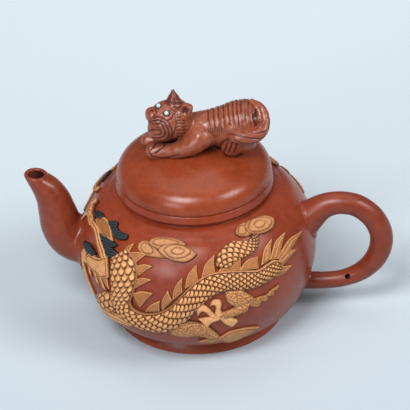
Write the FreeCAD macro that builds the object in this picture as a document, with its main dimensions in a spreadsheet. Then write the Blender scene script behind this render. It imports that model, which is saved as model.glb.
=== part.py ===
import FreeCAD, Part
import math
import os
import Sketcher

# A red stoneware teapot with a reclining beast on its lid and two clay dragons laid round its belly.
# The axis of the pot is Z, the foot rests on Z = 0, the spout points to -X and the handle to +X.
doc = FreeCAD.newDocument("dragon_teapot")
sheet = doc.addObject("Spreadsheet::Sheet", "Sizes")

# Every size in millimetres, and angles in degrees.
SIZES = {
    # belly wall, with the small curves at the waist and shoulder as shares of the bulge past them
    "waist_radius": 37.9,
    "belly_radius": 57.5,
    "belly_height": 39.8,
    "shoulder_height": 69.3,
    "wall": 3.4,
    "lower_curve_share": 0.74,
    "upper_curve_share": 0.724,
    # foot ring
    "foot_height": 6.9,
    "foot_flare": 2.9,
    "foot_width": 5.8,
    "foot_seat": 5.9,
    # mouth ring: its bore, and how much wider the neck, the rim and the band round it are
    "mouth_radius": 30.5,
    "neck_width": 6.0,
    "rim_width": 6.6,
    "rim_bulge": 0.4,
    "rim_band_height": 4.6,
    "rim_height": 8.0,
    # lid
    "lid_overhang": 0.4,
    "lid_edge_rise": 1.4,
    "lid_curve": 10.2,
    "lid_rise": 16.6,
    "lid_side": 4.3,
    "lid_hollow_side": 3.2,
    "lid_crown_wall": 4.0,
    "collar_gap": 0.4,
    "collar_wall": 3.2,
    "collar_depth": 8.5,
    "collar_chamfer": 1.2,
    "lid_vent_radius": 1.5,
    "lid_vent_across": 13.0,
    # spout, whose tip is level with the rim
    "spout_reach": 20.0,
    "spout_root_radius": 12.4,
    "spout_wall": 1.9,
    "strainer_hole_radius": 1.5,
    "strainer_pitch": 5.4,
    # handle
    "handle_reach": 31.7,
    "handle_height": 61.0,
    "handle_root_radius": 8.6,
    "handle_wall": 2.0,
    "handle_vent_radius": 1.5,
    "handle_vent_across": 15.0,
    # clay laid on the belly
    "trunk_relief": 2.6,
    "limb_relief": 2.0,
    "leaf_relief": 1.3,
    "cloud_relief": 1.7,
    "head_relief": 3.2,
    # beast on the lid
    "beast_length": 66.0,
    "eye_radius": 1.25,
    # reach of the cutting columns past what they cut
    "overrun": 5.0,
}
for row, (name, amount) in enumerate(SIZES.items(), start=1):
    sheet.set("A%d" % row, name)
    sheet.set("B%d" % row, str(amount))
    sheet.setAlias("B%d" % row, name)
doc.recompute()

# Places on the belly: degrees round the pot from the front, towards the handle, and the height as a
# share of the shoulder's height. Each piece is a strip of pairs, one edge and the other.
TRUNK_SHARES = (
    ((-44, .80), (-35, .89)), ((-42, .74), (-27, .82)), ((-41, .655), (-26.5, .72)),
    ((-41, .56), (-28, .62)), ((-41, .47), (-30, .54)), ((-39, .385), (-27, .49)),
    ((-31.5, .325), (-22, .49)), ((-20.5, .315), (-15, .52)), ((-10, .355), (-8.5, .59)),
    ((-2, .455), (-3.5, .675)), ((4.5, .575), (2.5, .76)), ((11, .67), (9.5, .81)),
    ((18, .685), (17, .815)), ((25, .67), (27, .79)), ((32, .65), (35, .76)),
    ((39, .665), (41, .78)), ((44.5, .675), (45.5, .785)), ((48, .70), (48.5, .75)),
)
FINS_SHARES = (
    ((-40, .875), (-34, .87), (-34.5, .92)), ((-34.5, .875), (-29, .83), (-24.5, .89)),
    ((-28, .82), (-26, .76), (-19.5, .835)), ((-27.5, .73), (-28, .655), (-19, .75)),
    ((-29, .62), (-24.5, .525), (-18, .66)), ((-22, .50), (-15, .525), (-14.5, .615)),
    ((-14, .53), (-8, .635), (-10.5, .70)), ((-8, .635), (-3, .70), (-3.5, .795)),
    ((-2, .72), (5, .77), (4, .87)), ((6, .785), (13.5, .815), (14, .91)),
    ((15, .81), (26, .79), (28.5, .875)), ((25.5, .79), (35, .76), (37.5, .84)),
)
TAIL_FINS_SHARES = (
    ((37, .775), (43.5, .79), (50.5, .895)), ((43.5, .785), (47.5, .77), (60.5, .875)),
    ((47, .765), (50, .75), (73, .80)), ((48.5, .75), (49, .715), (62, .74)),
    ((41, .68), (48.5, .71), (56, .675)),
)
UPPER_LEG_SHARES = (
    ((14, .84), (22.5, .825)), ((16, .905), (23.5, .855)), ((20.5, .935), (27, .87)),
    ((28, .945), (30, .87)), ((32, .935), (34, .865)), ((37.5, .94), (38.5, .885)),
    ((40, .955), (42, .92)),
)
LOWER_HIND_THIGH_SHARES = (
    ((17, .69), (25, .675)), ((17.5, .605), (27, .645)), ((21, .545), (29.5, .61)),
    ((25.5, .525), (31, .59)),
)
TUFT_SHARES = (
    ((26, .59), (30, .51)), ((32.5, .575), (36, .48)), ((37, .565), (38.5, .50)),
    ((42, .56), (42.5, .525)), ((47, .58), (47.4, .575)),
)
SHIN_SHARES = (
    ((29.5, .56), (27, .48)), ((24, .555), (24, .475)), ((18, .53), (18.5, .455)),
)
CLAW_SHARES = (
    ((18, .53), (18, .47), (10.5, .53)), ((11, .53), (10, .495), (4, .585)),
    ((17, .535), (11.5, .545), (10, .59)), ((18, .47), (11, .485), (4.5, .455)),
    ((18, .455), (18.5, .475), (25, .435)),
)
FORELEG_SHARES = (
    ((-12, .32), (-7, .455)), ((-4, .285), (0, .455)), ((3, .31), (6, .435)),
    ((8.5, .265), (10.5, .365)), ((12.5, .255), (13.5, .30)),
)
SHOULDER_SHARES = (
    ((-55, .40), (-53, .44)), ((-51, .375), (-48, .505)), ((-45, .365), (-43, .525)),
    ((-41, .38), (-40.5, .48)),
)
FRONT_ARM_SHARES = (
    ((-57, .265), (-54, .375)), ((-50, .24), (-47, .36)), ((-42, .255), (-40, .365)),
    ((-34, .285), (-32.5, .31)),
)
PAW_LEAVES_SHARES = (
    ((3.5, .235), (9, .205), (14, .235), (11, .26)), ((13, .245), (19.5, .17), (35.5, .265), (21, .31)),
)
HEAD_SHARES = (
    ((-62, .66), (-62, .70)), ((-58, .635), (-59, .755)), ((-53, .62), (-57, .85)),
    ((-48.5, .625), (-50.5, .80)), ((-45, .635), (-46.5, .79)),
)
SNOUT_SHARES = (
    ((-63, .83), (-58.5, .88)), ((-69, .84), (-64, .91)), ((-74, .845), (-70, .915)),
    ((-79, .87), (-77, .925)),
)
BEARD_SHARES = (
    ((-56, .63), (-53.5, .62), (-51, .555)), ((-52.5, .615), (-49.5, .62), (-47.5, .56)),
    ((-48.5, .62), (-45.5, .63), (-43, .60)), ((-61, .655), (-59, .635), (-58, .57)),
)
HORN_SHARES = (
    ((-65, .88), (-65.5, .925)), ((-60, .88), (-61, .945)), ((-54, .885), (-56, .94)),
    ((-47, .89), (-47.6, .90)),
)
MANE_SHARES = (
    ((-58, .845), (-58, .87), (-43, .90), (-44, .865)), ((-52, .815), (-52, .84), (-39, .84), (-42, .81)),
    ((-59, .95), (-54, .97), (-40, .945), (-46, .925)), ((-70, .735), (-70, .76), (-58, .765), (-58.5, .735)),
)
WHISKER_SHARES = (
    ((-80.4, .864), (-81, .876)), ((-82.5, .831), (-84, .848)), ((-84, .797), (-85.5, .807)),
    ((-85.5, .766), (-86, .769)),
)
# Clouds: middle, half length and half height, as degrees and shares, and the lean of each lobe.
CLOUDS_SHARES = {
    "cloud_large": (((-6, .905), (12, .065)), ((-17, .915), (12, .055)), ((-25, .90), (7, .045))),
    "cloud_small": (((50, .955), (8.5, .032)), ((39, .95), (7, .02))),
}
LOBE_HALF_TURN = 78
LOBE_STEPS = 4
BLUNT_SHARE = .06
SEWING_SHARE = .0001

# Spout and handle: how far out from the belly, the height and the radius, root to end, as shares of the
# reach, of the rim's or the arch's height and of the root's radius.
SPOUT_SHARES = (
    (-.575, .505, 1.0), (-.10, .512, .95), (.22, .545, .88), (.40, .63, .82),
    (.49, .725, .74), (.58, .825, .66), (.715, .91, .57), (1.02, 1.04, .49),
)
HANDLE_SHARES = (
    (-.30, .755, 1.02), (-.11, .86, .88), (.095, .955, .70), (.395, 1.0, .635), (.695, .957, .64),
    (.92, .83, .65), (1.0, .665, .65), (.925, .49, .61), (.71, .36, .545), (.41, .282, .48),
    (.08, .26, .47), (-.175, .26, .50), (-.36, .265, .55),
)

# The handle's air hole: its height as a share of the arch's, and its lean towards the front, in degrees.
HANDLE_VENT_SHARE = .29
HANDLE_VENT_LEAN = 56
# Holes in the ring round the middle hole of the strainer.
STRAINER_RING = 6

# Beast: places along, across and up from the lid's skin below them, and radii, as shares of its length.
BEAST_SHARES = {
    "beast_body": (((.015, .01, .13), .134), ((.38, .015, .26), .165)),
    "beast_near_foreleg": (((.05, -.115, .12), .08), ((-.13, -.12, .047), .06), ((-.28, -.085, .037), .062)),
    "beast_far_foreleg": (((.03, .11, .105), .08), ((-.20, .09, .038), .055), ((-.335, .07, .031), .053)),
    "beast_near_hind_leg": (((.36, -.075, .17), .09), ((.292, -.075, .085), .065), ((.285, -.07, .054), .06)),
    "beast_far_hind_leg": (((.36, .13, .176), .10), ((.24, .14, .084), .065), ((.265, .135, .044), .06)),
    "beast_tail": (
        ((.49, .03, .434), .026), ((.532, -.03, .408), .031), ((.54, -.075, .37), .034), ((.517, -.125, .322), .04),
        ((.46, -.163, .281), .045), ((.37, -.178, .26), .045), ((.285, -.165, .24), .022),
    ),
}
ROUND_PIECES_SHARES = {
    "beast_head": ((-.155, -.055, .282), (.155, .15, .14)),
    "beast_muzzle": ((-.267, -.114, .374), (.055, .062, .056)),
    "beast_jaw": ((-.214, -.094, .234), (.1, .092, .083)),
    "beast_near_ear": ((-.022, -.106, .385), (.05, .026, .058)),
    "beast_far_ear": ((-.142, .076, .334), (.045, .022, .045)),
}
CREST_SHARES = ((-.12, -.03, .389), (-.122, -.025, .51), (.088, .014))
EYES_SHARES = ((-.166, -.1476, .4014), (-.229, -.068, .416))
# How far each limb's seam is turned, in degrees, so that no two seams meet.
SEAM_TURN = 37

# Chains of sizes that several pieces share.
NECK = "mouth_radius + neck_width"
RIM = "mouth_radius + rim_width"
RIM_TOP = "shoulder_height + rim_height"
LID = RIM + " + lid_overhang"
LID_HOLLOW = LID + " - lid_side"
LID_EDGE = RIM_TOP + " + lid_edge_rise"
LID_TOP = RIM_TOP + " + lid_rise"
LOW_QUARTER = ("lower_curve_share", "belly_radius - waist_radius", "belly_height - foot_height")
HIGH_QUARTER = (
    "upper_curve_share", "belly_radius - mouth_radius - neck_width", "shoulder_height - belly_height",
)


def size(name):
    """A named size as a number."""
    return float(sheet.get(name))


def total(terms):
    """The sum of named sizes written as words, such as 'foot_height + wall' or 'share*size + wall'."""
    amount, sign = 0.0, 1
    for word in terms.split():
        if word in ("+", "-"):
            sign = 1 if word == "+" else -1
        elif word != "0":
            amount += sign * math.prod(size(name) for name in word.split("*"))
    return amount


def bound(terms):
    """The same sum as an expression on the sheet."""
    words = []
    for word in terms.split():
        names = word.split("*")
        words.append(word if word in ("+", "-", "0") else " * ".join("Sizes." + name for name in names))
    return " ".join(words)


def portion(share, terms):
    """That share of a sum of sizes, as words again."""
    return " ".join(word if word in ("+", "-") else share + "*" + word for word in terms.split())


def new_body(label, plane_role="XZ_Plane"):
    """A body with one sketch on the named origin plane."""
    body = doc.addObject("PartDesign::Body", label)
    body.Label = label
    sketch = body.newObject("Sketcher::SketchObject", label + "_outline")
    plane = [item for item in body.Origin.OriginFeatures if item.Role == plane_role][0]
    sketch.AttachmentSupport = [(plane, "")]
    sketch.MapMode = "FlatFace"
    return body, sketch


def arc_edge(start, end, centre):
    """The shorter arc from start to end about centre, counterclockwise as a sketch needs it."""
    a = math.atan2(start[1] - centre[1], start[0] - centre[0])
    b = math.atan2(end[1] - centre[1], end[0] - centre[0])
    radius = math.hypot(start[0] - centre[0], start[1] - centre[1])
    turn = (b - a) % (2 * math.pi)
    forward = turn <= math.pi
    low, high = (a, b) if forward else (b, a)
    if high < low:
        high += 2 * math.pi
    circle = Part.Circle(FreeCAD.Vector(centre[0], centre[1], 0), FreeCAD.Vector(0, 0, 1), radius)
    return Part.ArcOfCircle(circle, low, high), forward


def oval(level, upright, curve):
    """Two tangent arcs from a corner with a level tangent to one with an upright tangent.

    The small arc has the radius given and lies at the end of the longer way. The large one's radius is
    what makes the two arcs touch. Returns the joint and both centres, the level corner's first.
    """
    width, height = upright[0] - level[0], abs(upright[1] - level[1])
    side = 1 if upright[1] > level[1] else -1
    longer, shorter = max(width, height), min(width, height)
    large = (width ** 2 + height ** 2 - 2 * longer * curve) / (2 * (shorter - curve))
    first, second = (large, curve) if width > height else (curve, large)
    near = (level[0], level[1] + side * first)
    far = (upright[0] - second, upright[1])
    small, other = (far, near) if width > height else (near, far)
    reach = math.hypot(near[0] - far[0], near[1] - far[1])
    joint = tuple(small[i] + curve * (small[i] - other[i]) / reach for i in (0, 1))
    return joint, near, far


def quarter(share, width, height, less=""):
    """The small arc's radius as words, and whether it is the first arc of its oval."""
    upright = total(height) >= total(width)
    return portion(share, width if upright else height) + less, upright


def draw(sketch, corners, edges):
    """Draw a closed outline and tie it to the sheet.

    A corner is a pair of sums of named sizes, or a pair of numbers where tangent arcs meet, which the
    sketch settles. An edge is None for a line, or a dictionary with the arc's centre, and the sums
    that its centre or its radius keep.
    """
    ends = []
    places = [tuple(total(part) if isinstance(part, str) else part for part in corner) for corner in corners]
    for index, edge in enumerate(edges):
        start, end = places[index], places[(index + 1) % len(places)]
        if edge is None:
            line = Part.LineSegment(FreeCAD.Vector(start[0], start[1], 0), FreeCAD.Vector(end[0], end[1], 0))
            number = sketch.addGeometry(line, False)
            ends.append((number, 1, 2))
            continue
        arc, forward = arc_edge(start, end, edge["centre"])
        number = sketch.addGeometry(arc, False)
        ends.append((number, 1, 2) if forward else (number, 2, 1))
        for kind, key in (("DistanceX", "across"), ("DistanceY", "up")):
            if key in edge:
                pin(sketch, kind, number, 3, edge[key])
        if "radius" in edge:
            fixed = sketch.addConstraint(Sketcher.Constraint("Radius", number, total(edge["radius"])))
            sketch.setExpression("Constraints[%d]" % fixed, bound(edge["radius"]))
    for index, corner in enumerate(corners):
        before, after = ends[index - 1], ends[index]
        kind = "Coincident" if isinstance(corner[0], str) else "Tangent"
        sketch.addConstraint(Sketcher.Constraint(kind, before[0], before[2], after[0], after[1]))
        if isinstance(corner[0], str):
            pin(sketch, "DistanceX", after[0], after[1], corner[0])
            pin(sketch, "DistanceY", after[0], after[1], corner[1])


def pin(sketch, kind, geometry, point, terms):
    """Hold one coordinate of a point at a sum of named sizes."""
    if terms == "0":
        axis = -2 if kind == "DistanceX" else -1
        sketch.addConstraint(Sketcher.Constraint("PointOnObject", geometry, point, axis))
        return
    fixed = sketch.addConstraint(Sketcher.Constraint(kind, -1, 1, geometry, point, total(terms)))
    sketch.setExpression("Constraints[%d]" % fixed, bound(terms))


def revolve(body, sketch, label):
    """Turn the sketch once round its upright axis."""
    turned = body.newObject("PartDesign::Revolution", label + "_turned")
    turned.Profile = sketch
    turned.ReferenceAxis = (sketch, ["V_Axis"])
    turned.Angle = 360
    body.Tip = turned
    return turned


def belly_chain(offset):
    """Corners and edges of the belly from waist to shoulder, set in from the skin by the offset."""
    less = " - " + offset if offset else ""
    more = " + " + offset if offset else ""
    waist = ("waist_radius", "foot_height" + more)
    widest = ("belly_radius" + less, "belly_height")
    neck = (NECK, "shoulder_height" + less)
    low, low_first = quarter(*LOW_QUARTER, less)
    high, high_first = quarter(*HIGH_QUARTER, less)
    spots = [tuple(total(part) for part in corner) for corner in (waist, widest, neck)]
    low_joint, low_near, low_far = oval(spots[0], spots[1], total(low))
    high_joint, high_near, high_far = oval(spots[2], spots[1], total(high))
    corners = [waist, low_joint, widest, high_joint, neck]
    edges = [
        {"centre": low_near, "across": "waist_radius"}, {"centre": low_far, "up": "belly_height"},
        {"centre": high_far, "up": "belly_height"}, {"centre": high_near, "across": NECK},
    ]
    edges[0 if low_first else 1]["radius"] = low
    edges[3 if high_first else 2]["radius"] = high
    return corners, edges


def make_belly_core():
    """The belly as if it were solid, the form that its pieces are cut to."""
    body, sketch = new_body("belly_core")
    corners, edges = belly_chain("")
    draw(sketch, corners + [("0", "shoulder_height"), ("0", "foot_height")], edges + [None, None, None])
    revolve(body, sketch, "belly_core")
    return body


def make_pot_wall():
    """The thrown wall, open at the floor and the mouth, with the strainer holes behind the spout."""
    body, sketch = new_body("pot_wall")
    outer, outer_edges = belly_chain("")
    inner, inner_edges = belly_chain("wall")
    lip = [("mouth_radius", "shoulder_height"), ("mouth_radius", "shoulder_height - wall")]
    corners = outer + lip + inner[::-1]
    draw(sketch, corners, outer_edges + [None, None, None] + inner_edges[::-1] + [None])
    revolve(body, sketch, "pot_wall")
    doc.recompute()
    plain = body.Shape.Volume
    holes = body.newObject("Sketcher::SketchObject", "strainer_holes")
    plane = [item for item in body.Origin.OriginFeatures if item.Role == "YZ_Plane"][0]
    holes.AttachmentSupport = [(plane, "")]
    holes.MapMode = "FlatFace"
    middle = SPOUT_SHARES[0][1]
    for step in range(STRAINER_RING + 1):
        angle = 2 * math.pi * step / STRAINER_RING
        ring = 1 if step < STRAINER_RING else 0
        across, up = round(ring * math.cos(angle), 6), round(ring * math.sin(angle), 6)
        pitch, radius = size("strainer_pitch"), size("strainer_hole_radius")
        spot = FreeCAD.Vector(across * pitch, middle * total(RIM_TOP) + up * pitch, 0)
        number = holes.addGeometry(Part.Circle(spot, FreeCAD.Vector(0, 0, 1), radius), False)
        fixed = holes.addConstraint(Sketcher.Constraint("Radius", number, radius))
        holes.setExpression("Constraints[%d]" % fixed, "Sizes.strainer_hole_radius")
        fixed = holes.addConstraint(Sketcher.Constraint("DistanceY", -1, 1, number, 3, spot.y))
        height = "%f * (%s) + %f * Sizes.strainer_pitch" % (middle, bound(RIM_TOP), up)
        holes.setExpression("Constraints[%d]" % fixed, height)
        if across:
            fixed = holes.addConstraint(Sketcher.Constraint("DistanceX", -1, 1, number, 3, spot.x))
            holes.setExpression("Constraints[%d]" % fixed, "%f * Sizes.strainer_pitch" % across)
        else:
            holes.addConstraint(Sketcher.Constraint("PointOnObject", number, 3, -2))
    pocket = body.newObject("PartDesign::Pocket", "strainer_pierced")
    pocket.Profile = holes
    pocket.Type = 0
    pocket.setExpression("Length", "Sizes.belly_radius + Sizes.overrun")
    pocket.Reversed = False
    body.Tip = pocket
    doc.recompute()
    pierced = body.Shape.Solids[0]
    if pierced.Volume >= plain or pierced.CenterOfMass.x < 0:
        raise RuntimeError("the strainer holes point away from the spout")
    return body


def make_ring(label, corners, edges=None):
    """A turned ring with straight sides unless arcs are given."""
    body, sketch = new_body(label)
    draw(sketch, corners, edges or [None] * len(corners))
    revolve(body, sketch, label)
    return body


def make_vessel():
    """Floor, foot and mouth ring of the pot, and the three turned pieces of the lid."""
    make_ring("base_plate", [
        ("0", "foot_height"), ("waist_radius", "foot_height"),
        ("waist_radius", "foot_height + wall"), ("0", "foot_height + wall"),
    ])
    foot = "waist_radius + foot_flare"
    make_ring("foot_ring", [
        (foot + " - foot_width", "0"), (foot, "0"), ("waist_radius", "foot_height"),
        ("waist_radius - foot_seat", "foot_height"),
    ])
    band = "shoulder_height + rim_band_height"
    make_ring("mouth_ring", [
        ("mouth_radius", "shoulder_height"), (NECK, "shoulder_height"), (RIM + " + rim_bulge", band),
        (RIM, RIM_TOP), ("mouth_radius", RIM_TOP),
    ])
    near, far, joint = lid_crown()
    hollow_side = RIM_TOP + " + lid_hollow_side"
    hollow_top = LID_TOP + " - lid_crown_wall"
    deep = total(hollow_top) - total(hollow_side)
    bowl = (0, total(hollow_top) - (total(LID_HOLLOW) ** 2 + deep ** 2) / (2 * deep))
    lid = make_ring("lid_dome", [
        (LID_HOLLOW, RIM_TOP), (RIM, RIM_TOP), (LID, LID_EDGE), joint, ("0", LID_TOP), ("0", hollow_top),
        (LID_HOLLOW, hollow_side),
    ], [
        None, None, {"centre": near, "up": LID_EDGE, "radius": "lid_curve"}, {"centre": far, "across": "0"},
        None, {"centre": bowl, "across": "0"}, None,
    ])
    pierce_lid(lid)
    make_ring("lid_core", [("0", RIM_TOP), (RIM, RIM_TOP), (LID, LID_EDGE), joint, ("0", LID_TOP)], [
        None, None, {"centre": near, "up": LID_EDGE, "radius": "lid_curve"}, {"centre": far, "across": "0"},
        None,
    ])
    outer = "mouth_radius - collar_gap"
    inner = outer + " - collar_wall"
    make_ring("lid_plate", [
        (inner, RIM_TOP), (LID_HOLLOW, RIM_TOP), (LID_HOLLOW, hollow_side), (inner, hollow_side),
    ])
    foot = RIM_TOP + " - collar_depth"
    make_ring("lid_collar", [
        (inner, foot), (outer + " - collar_chamfer", foot), (outer, foot + " + collar_chamfer"),
        (outer, RIM_TOP), (inner, RIM_TOP),
    ])


def lid_crown():
    """The lid's two tangent arcs: the centres of the edge's and the crown's, and where they meet."""
    reach, rise, curve = total(LID), total(LID_TOP) - total(LID_EDGE), size("lid_curve")
    crown = (reach ** 2 + rise ** 2 - 2 * reach * curve) / (2 * (rise - curve))
    near = (reach - curve, total(LID_EDGE))
    far = (0, total(LID_TOP) - crown)
    span = math.hypot(near[0] - far[0], near[1] - far[1])
    joint = (near[0] + curve * (near[0] - far[0]) / span, near[1] + curve * (near[1] - far[1]) / span)
    return near, far, joint


def pierce_lid(body):
    """The small vent hole through the dome, under the beast's belly."""
    hole = body.newObject("Sketcher::SketchObject", "lid_vent")
    plane = [item for item in body.Origin.OriginFeatures if item.Role == "XY_Plane"][0]
    hole.AttachmentSupport = [(plane, "")]
    hole.MapMode = "FlatFace"
    centre = FreeCAD.Vector(size("lid_vent_across"), 0, 0)
    number = hole.addGeometry(Part.Circle(centre, FreeCAD.Vector(0, 0, 1), size("lid_vent_radius")), False)
    fixed = hole.addConstraint(Sketcher.Constraint("Radius", number, size("lid_vent_radius")))
    hole.setExpression("Constraints[%d]" % fixed, "Sizes.lid_vent_radius")
    pin(hole, "DistanceX", number, 3, "lid_vent_across")
    pin(hole, "DistanceY", number, 3, "0")
    pocket = body.newObject("PartDesign::Pocket", "lid_pierced")
    pocket.Profile = hole
    pocket.Type = 0
    pocket.setExpression("Length", bound(LID_TOP + " + overrun"))
    pocket.Reversed = True
    body.Tip = pocket


def route_frame(stations):
    """The lean of each section of a tube from the run of its neighbours, in degrees about Y."""
    leans = []
    for index in range(len(stations)):
        before, after = stations[max(index - 1, 0)], stations[min(index + 1, len(stations) - 1)]
        leans.append(math.degrees(math.atan2(after[0] - before[0], after[1] - before[1])))
    return leans


def make_loft(label, side, shares, reach, height, root, less):
    """A tube of circles placed from the belly's side, less so much all round."""
    belly, top = size("belly_radius"), total(height)
    leans = route_frame([(side * (belly + out * size(reach)), up * top) for out, up, _ in shares])
    circles = []
    for index, (out, up, thick) in enumerate(shares):
        circle = doc.addObject("Part::Circle", "%s_section_%d" % (label, index + 1))
        circle.Placement.Rotation = FreeCAD.Rotation(FreeCAD.Vector(0, 1, 0), leans[index])
        circle.setExpression("Radius", "%f * Sizes.%s%s" % (thick, root, less))
        across = "%d * (Sizes.belly_radius + %f * Sizes.%s)" % (side, out, reach)
        circle.setExpression("Placement.Base.x", across)
        circle.setExpression("Placement.Base.z", "%f * (%s)" % (up, bound(height)))
        circles.append(circle)
    loft = doc.addObject("Part::Loft", label)
    loft.Sections = circles
    loft.Solid = True
    return loft


def cut(label, base, tool):
    """One object cut by another, both kept as they are."""
    result = doc.addObject("Part::Cut", label)
    result.Label = label
    result.Base = base
    result.Tool = tool
    return result


def make_spout(core):
    """Hollow spout, seated on the belly and cut level at its lip."""
    sizes = ("spout_reach", RIM_TOP, "spout_root_radius")
    outer = make_loft("spout_outer", -1, SPOUT_SHARES, *sizes, "")
    inner = make_loft("spout_bore", -1, SPOUT_SHARES, *sizes, " - Sizes.spout_wall")
    lip = doc.addObject("Part::Box", "spout_lip_cutter")
    for side in ("Length", "Width", "Height"):
        lip.setExpression(side, "2 * (Sizes.belly_radius + Sizes.spout_reach)")
    lip.setExpression("Placement.Base.x", "-2 * (Sizes.belly_radius + Sizes.spout_reach)")
    lip.setExpression("Placement.Base.y", "-(Sizes.belly_radius + Sizes.spout_reach)")
    lip.setExpression("Placement.Base.z", bound(RIM_TOP))
    hollow = cut("spout_hollow", outer, inner)
    seated = cut("spout_seated", hollow, core)
    return cut("spout", seated, lip)


def make_handle(core):
    """Hollow ear handle, seated on the belly, with the small hole that let its air out in the kiln."""
    sizes = ("handle_reach", "handle_height", "handle_root_radius")
    outer = make_loft("handle_outer", 1, HANDLE_SHARES, *sizes, "")
    inner = make_loft("handle_bore", 1, HANDLE_SHARES, *sizes, " - Sizes.handle_wall")
    vent = doc.addObject("Part::Cylinder", "handle_vent")
    vent.setExpression("Radius", "Sizes.handle_vent_radius")
    vent.setExpression("Height", "Sizes.handle_root_radius")
    vent.Placement.Rotation = FreeCAD.Rotation(FreeCAD.Vector(1, 0, 0), HANDLE_VENT_LEAN)
    vent.setExpression("Placement.Base.x", "Sizes.belly_radius + Sizes.handle_vent_across")
    vent.setExpression("Placement.Base.z", "%f * Sizes.handle_height" % HANDLE_VENT_SHARE)
    hollow = cut("handle_hollow", outer, inner)
    seated = cut("handle_seated", hollow, core)
    return cut("handle", seated, vent)


def keep(label, shape):
    """One document object that carries a finished shape."""
    item = doc.addObject("Part::Feature", label)
    item.Label = label
    item.Shape = shape
    item.Placement = FreeCAD.Placement()
    return item


def skin_arcs():
    """Centres, radii and corners of the belly's skin, from waist to shoulder."""
    waist = (size("waist_radius"), size("foot_height"))
    widest = (size("belly_radius"), size("belly_height"))
    neck = (total(NECK), size("shoulder_height"))
    low_joint, low_near, low_far = oval(waist, widest, total(quarter(*LOW_QUARTER)[0]))
    high_joint, high_near, high_far = oval(neck, widest, total(quarter(*HIGH_QUARTER)[0]))
    return (
        (low_near, waist, low_joint), (low_far, low_joint, widest),
        (high_far, widest, high_joint), (high_near, high_joint, neck),
    )


def skin_place(azimuth, share, rise):
    """The point at so many degrees from the front and that share of the height, so far off the skin."""
    up = share * size("shoulder_height")
    for centre, low, high in skin_arcs():
        if up <= high[1]:
            break
    radius = math.hypot(low[0] - centre[0], low[1] - centre[1])
    climb = max(-1.0, min(1.0, (up - centre[1]) / radius))
    across = centre[0] + math.sqrt(1 - climb ** 2) * (radius + rise)
    height = centre[1] + climb * (radius + rise)
    turn = math.radians(azimuth)
    return FreeCAD.Vector(across * math.sin(turn), -across * math.cos(turn), height)


def skin_layer(rise):
    """The layer of clay of that thickness all round the belly."""
    inner, outer = [], []
    for centre, low, high in skin_arcs():
        radius = math.hypot(low[0] - centre[0], low[1] - centre[1])
        for edges, grown in ((inner, 1), (outer, 1 + rise / radius)):
            middle = [(low[i] + high[i]) / 2 - centre[i] for i in (0, 1)]
            stretch = radius / math.hypot(middle[0], middle[1])
            bulge = [centre[i] + middle[i] * stretch * grown for i in (0, 1)]
            ends = [[centre[i] + (end[i] - centre[i]) * grown for i in (0, 1)] for end in (low, high)]
            points = [FreeCAD.Vector(spot[0], 0, spot[1]) for spot in (ends[0], bulge, ends[1])]
            edges.append(Part.Arc(*points).toShape())
    bottom = Part.makeLine(inner[0].Vertexes[0].Point, outer[0].Vertexes[0].Point)
    top = Part.makeLine(inner[-1].Vertexes[1].Point, outer[-1].Vertexes[1].Point)
    face = Part.Face(Part.Wire(Part.__sortEdges__(inner + [top] + outer + [bottom])))
    return face.revolve(FreeCAD.Vector(0, 0, 0), FreeCAD.Vector(0, 0, 1), 360)


def column(strip):
    """A straight-sided block that stands through the skin on a strip of pairs of places."""
    depth, height = size("overrun") / 2, size("overrun") + size("head_relief")
    points, rings = [], []
    for pair in strip:
        ring = []
        for azimuth, share in pair:
            for rise in (-depth, height):
                place = skin_place(azimuth, share, rise)
                points.append(place)
                ring.append(len(points) - 1)
        rings.append(ring)
    first, last = rings[0], rings[-1]
    facets = [(first[0], first[1], first[3]), (first[0], first[3], first[2])]
    for before, after in zip(rings, rings[1:]):
        for a, b in ((0, 2), (2, 3), (3, 1), (1, 0)):
            facets.append((before[a], before[b], after[b]))
            facets.append((before[a], after[b], after[a]))
    facets += [(last[0], last[3], last[1]), (last[0], last[2], last[3])]
    shell = Part.Shape()
    shell.makeShapeFromMesh((points, facets), SEWING_SHARE * size("overrun"))
    solid = Part.makeSolid(shell)
    if solid.Volume < 0:
        solid.reverse()
    return solid


def fin(corners):
    """A strip for a blade with two base corners and a tip, blunted to a short end."""
    left, right, tip = corners
    blunt = [tuple(tip[i] + (side[i] - tip[i]) * BLUNT_SHARE for i in (0, 1)) for side in (left, right)]
    return (left, right), tuple(blunt)


def lobe(middle, halves):
    """A strip for an oval lobe: its two edges run along it as a half oval each."""
    strip = []
    for step in range(-LOBE_STEPS, LOBE_STEPS + 1):
        along = math.sin(math.radians(LOBE_HALF_TURN * step / LOBE_STEPS))
        half = math.cos(math.radians(LOBE_HALF_TURN * step / LOBE_STEPS))
        azimuth = middle[0] + along * halves[0]
        strip.append(((azimuth, middle[1] - half * halves[1]), (azimuth, middle[1] + half * halves[1])))
    return strip


def quad(corners):
    """A strip of one block from four corners in order round it."""
    return (corners[0], corners[1]), (corners[3], corners[2])


def biggest(shape):
    """The largest solid of a shape."""
    return max(shape.Solids, key=lambda solid: solid.Volume)


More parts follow.
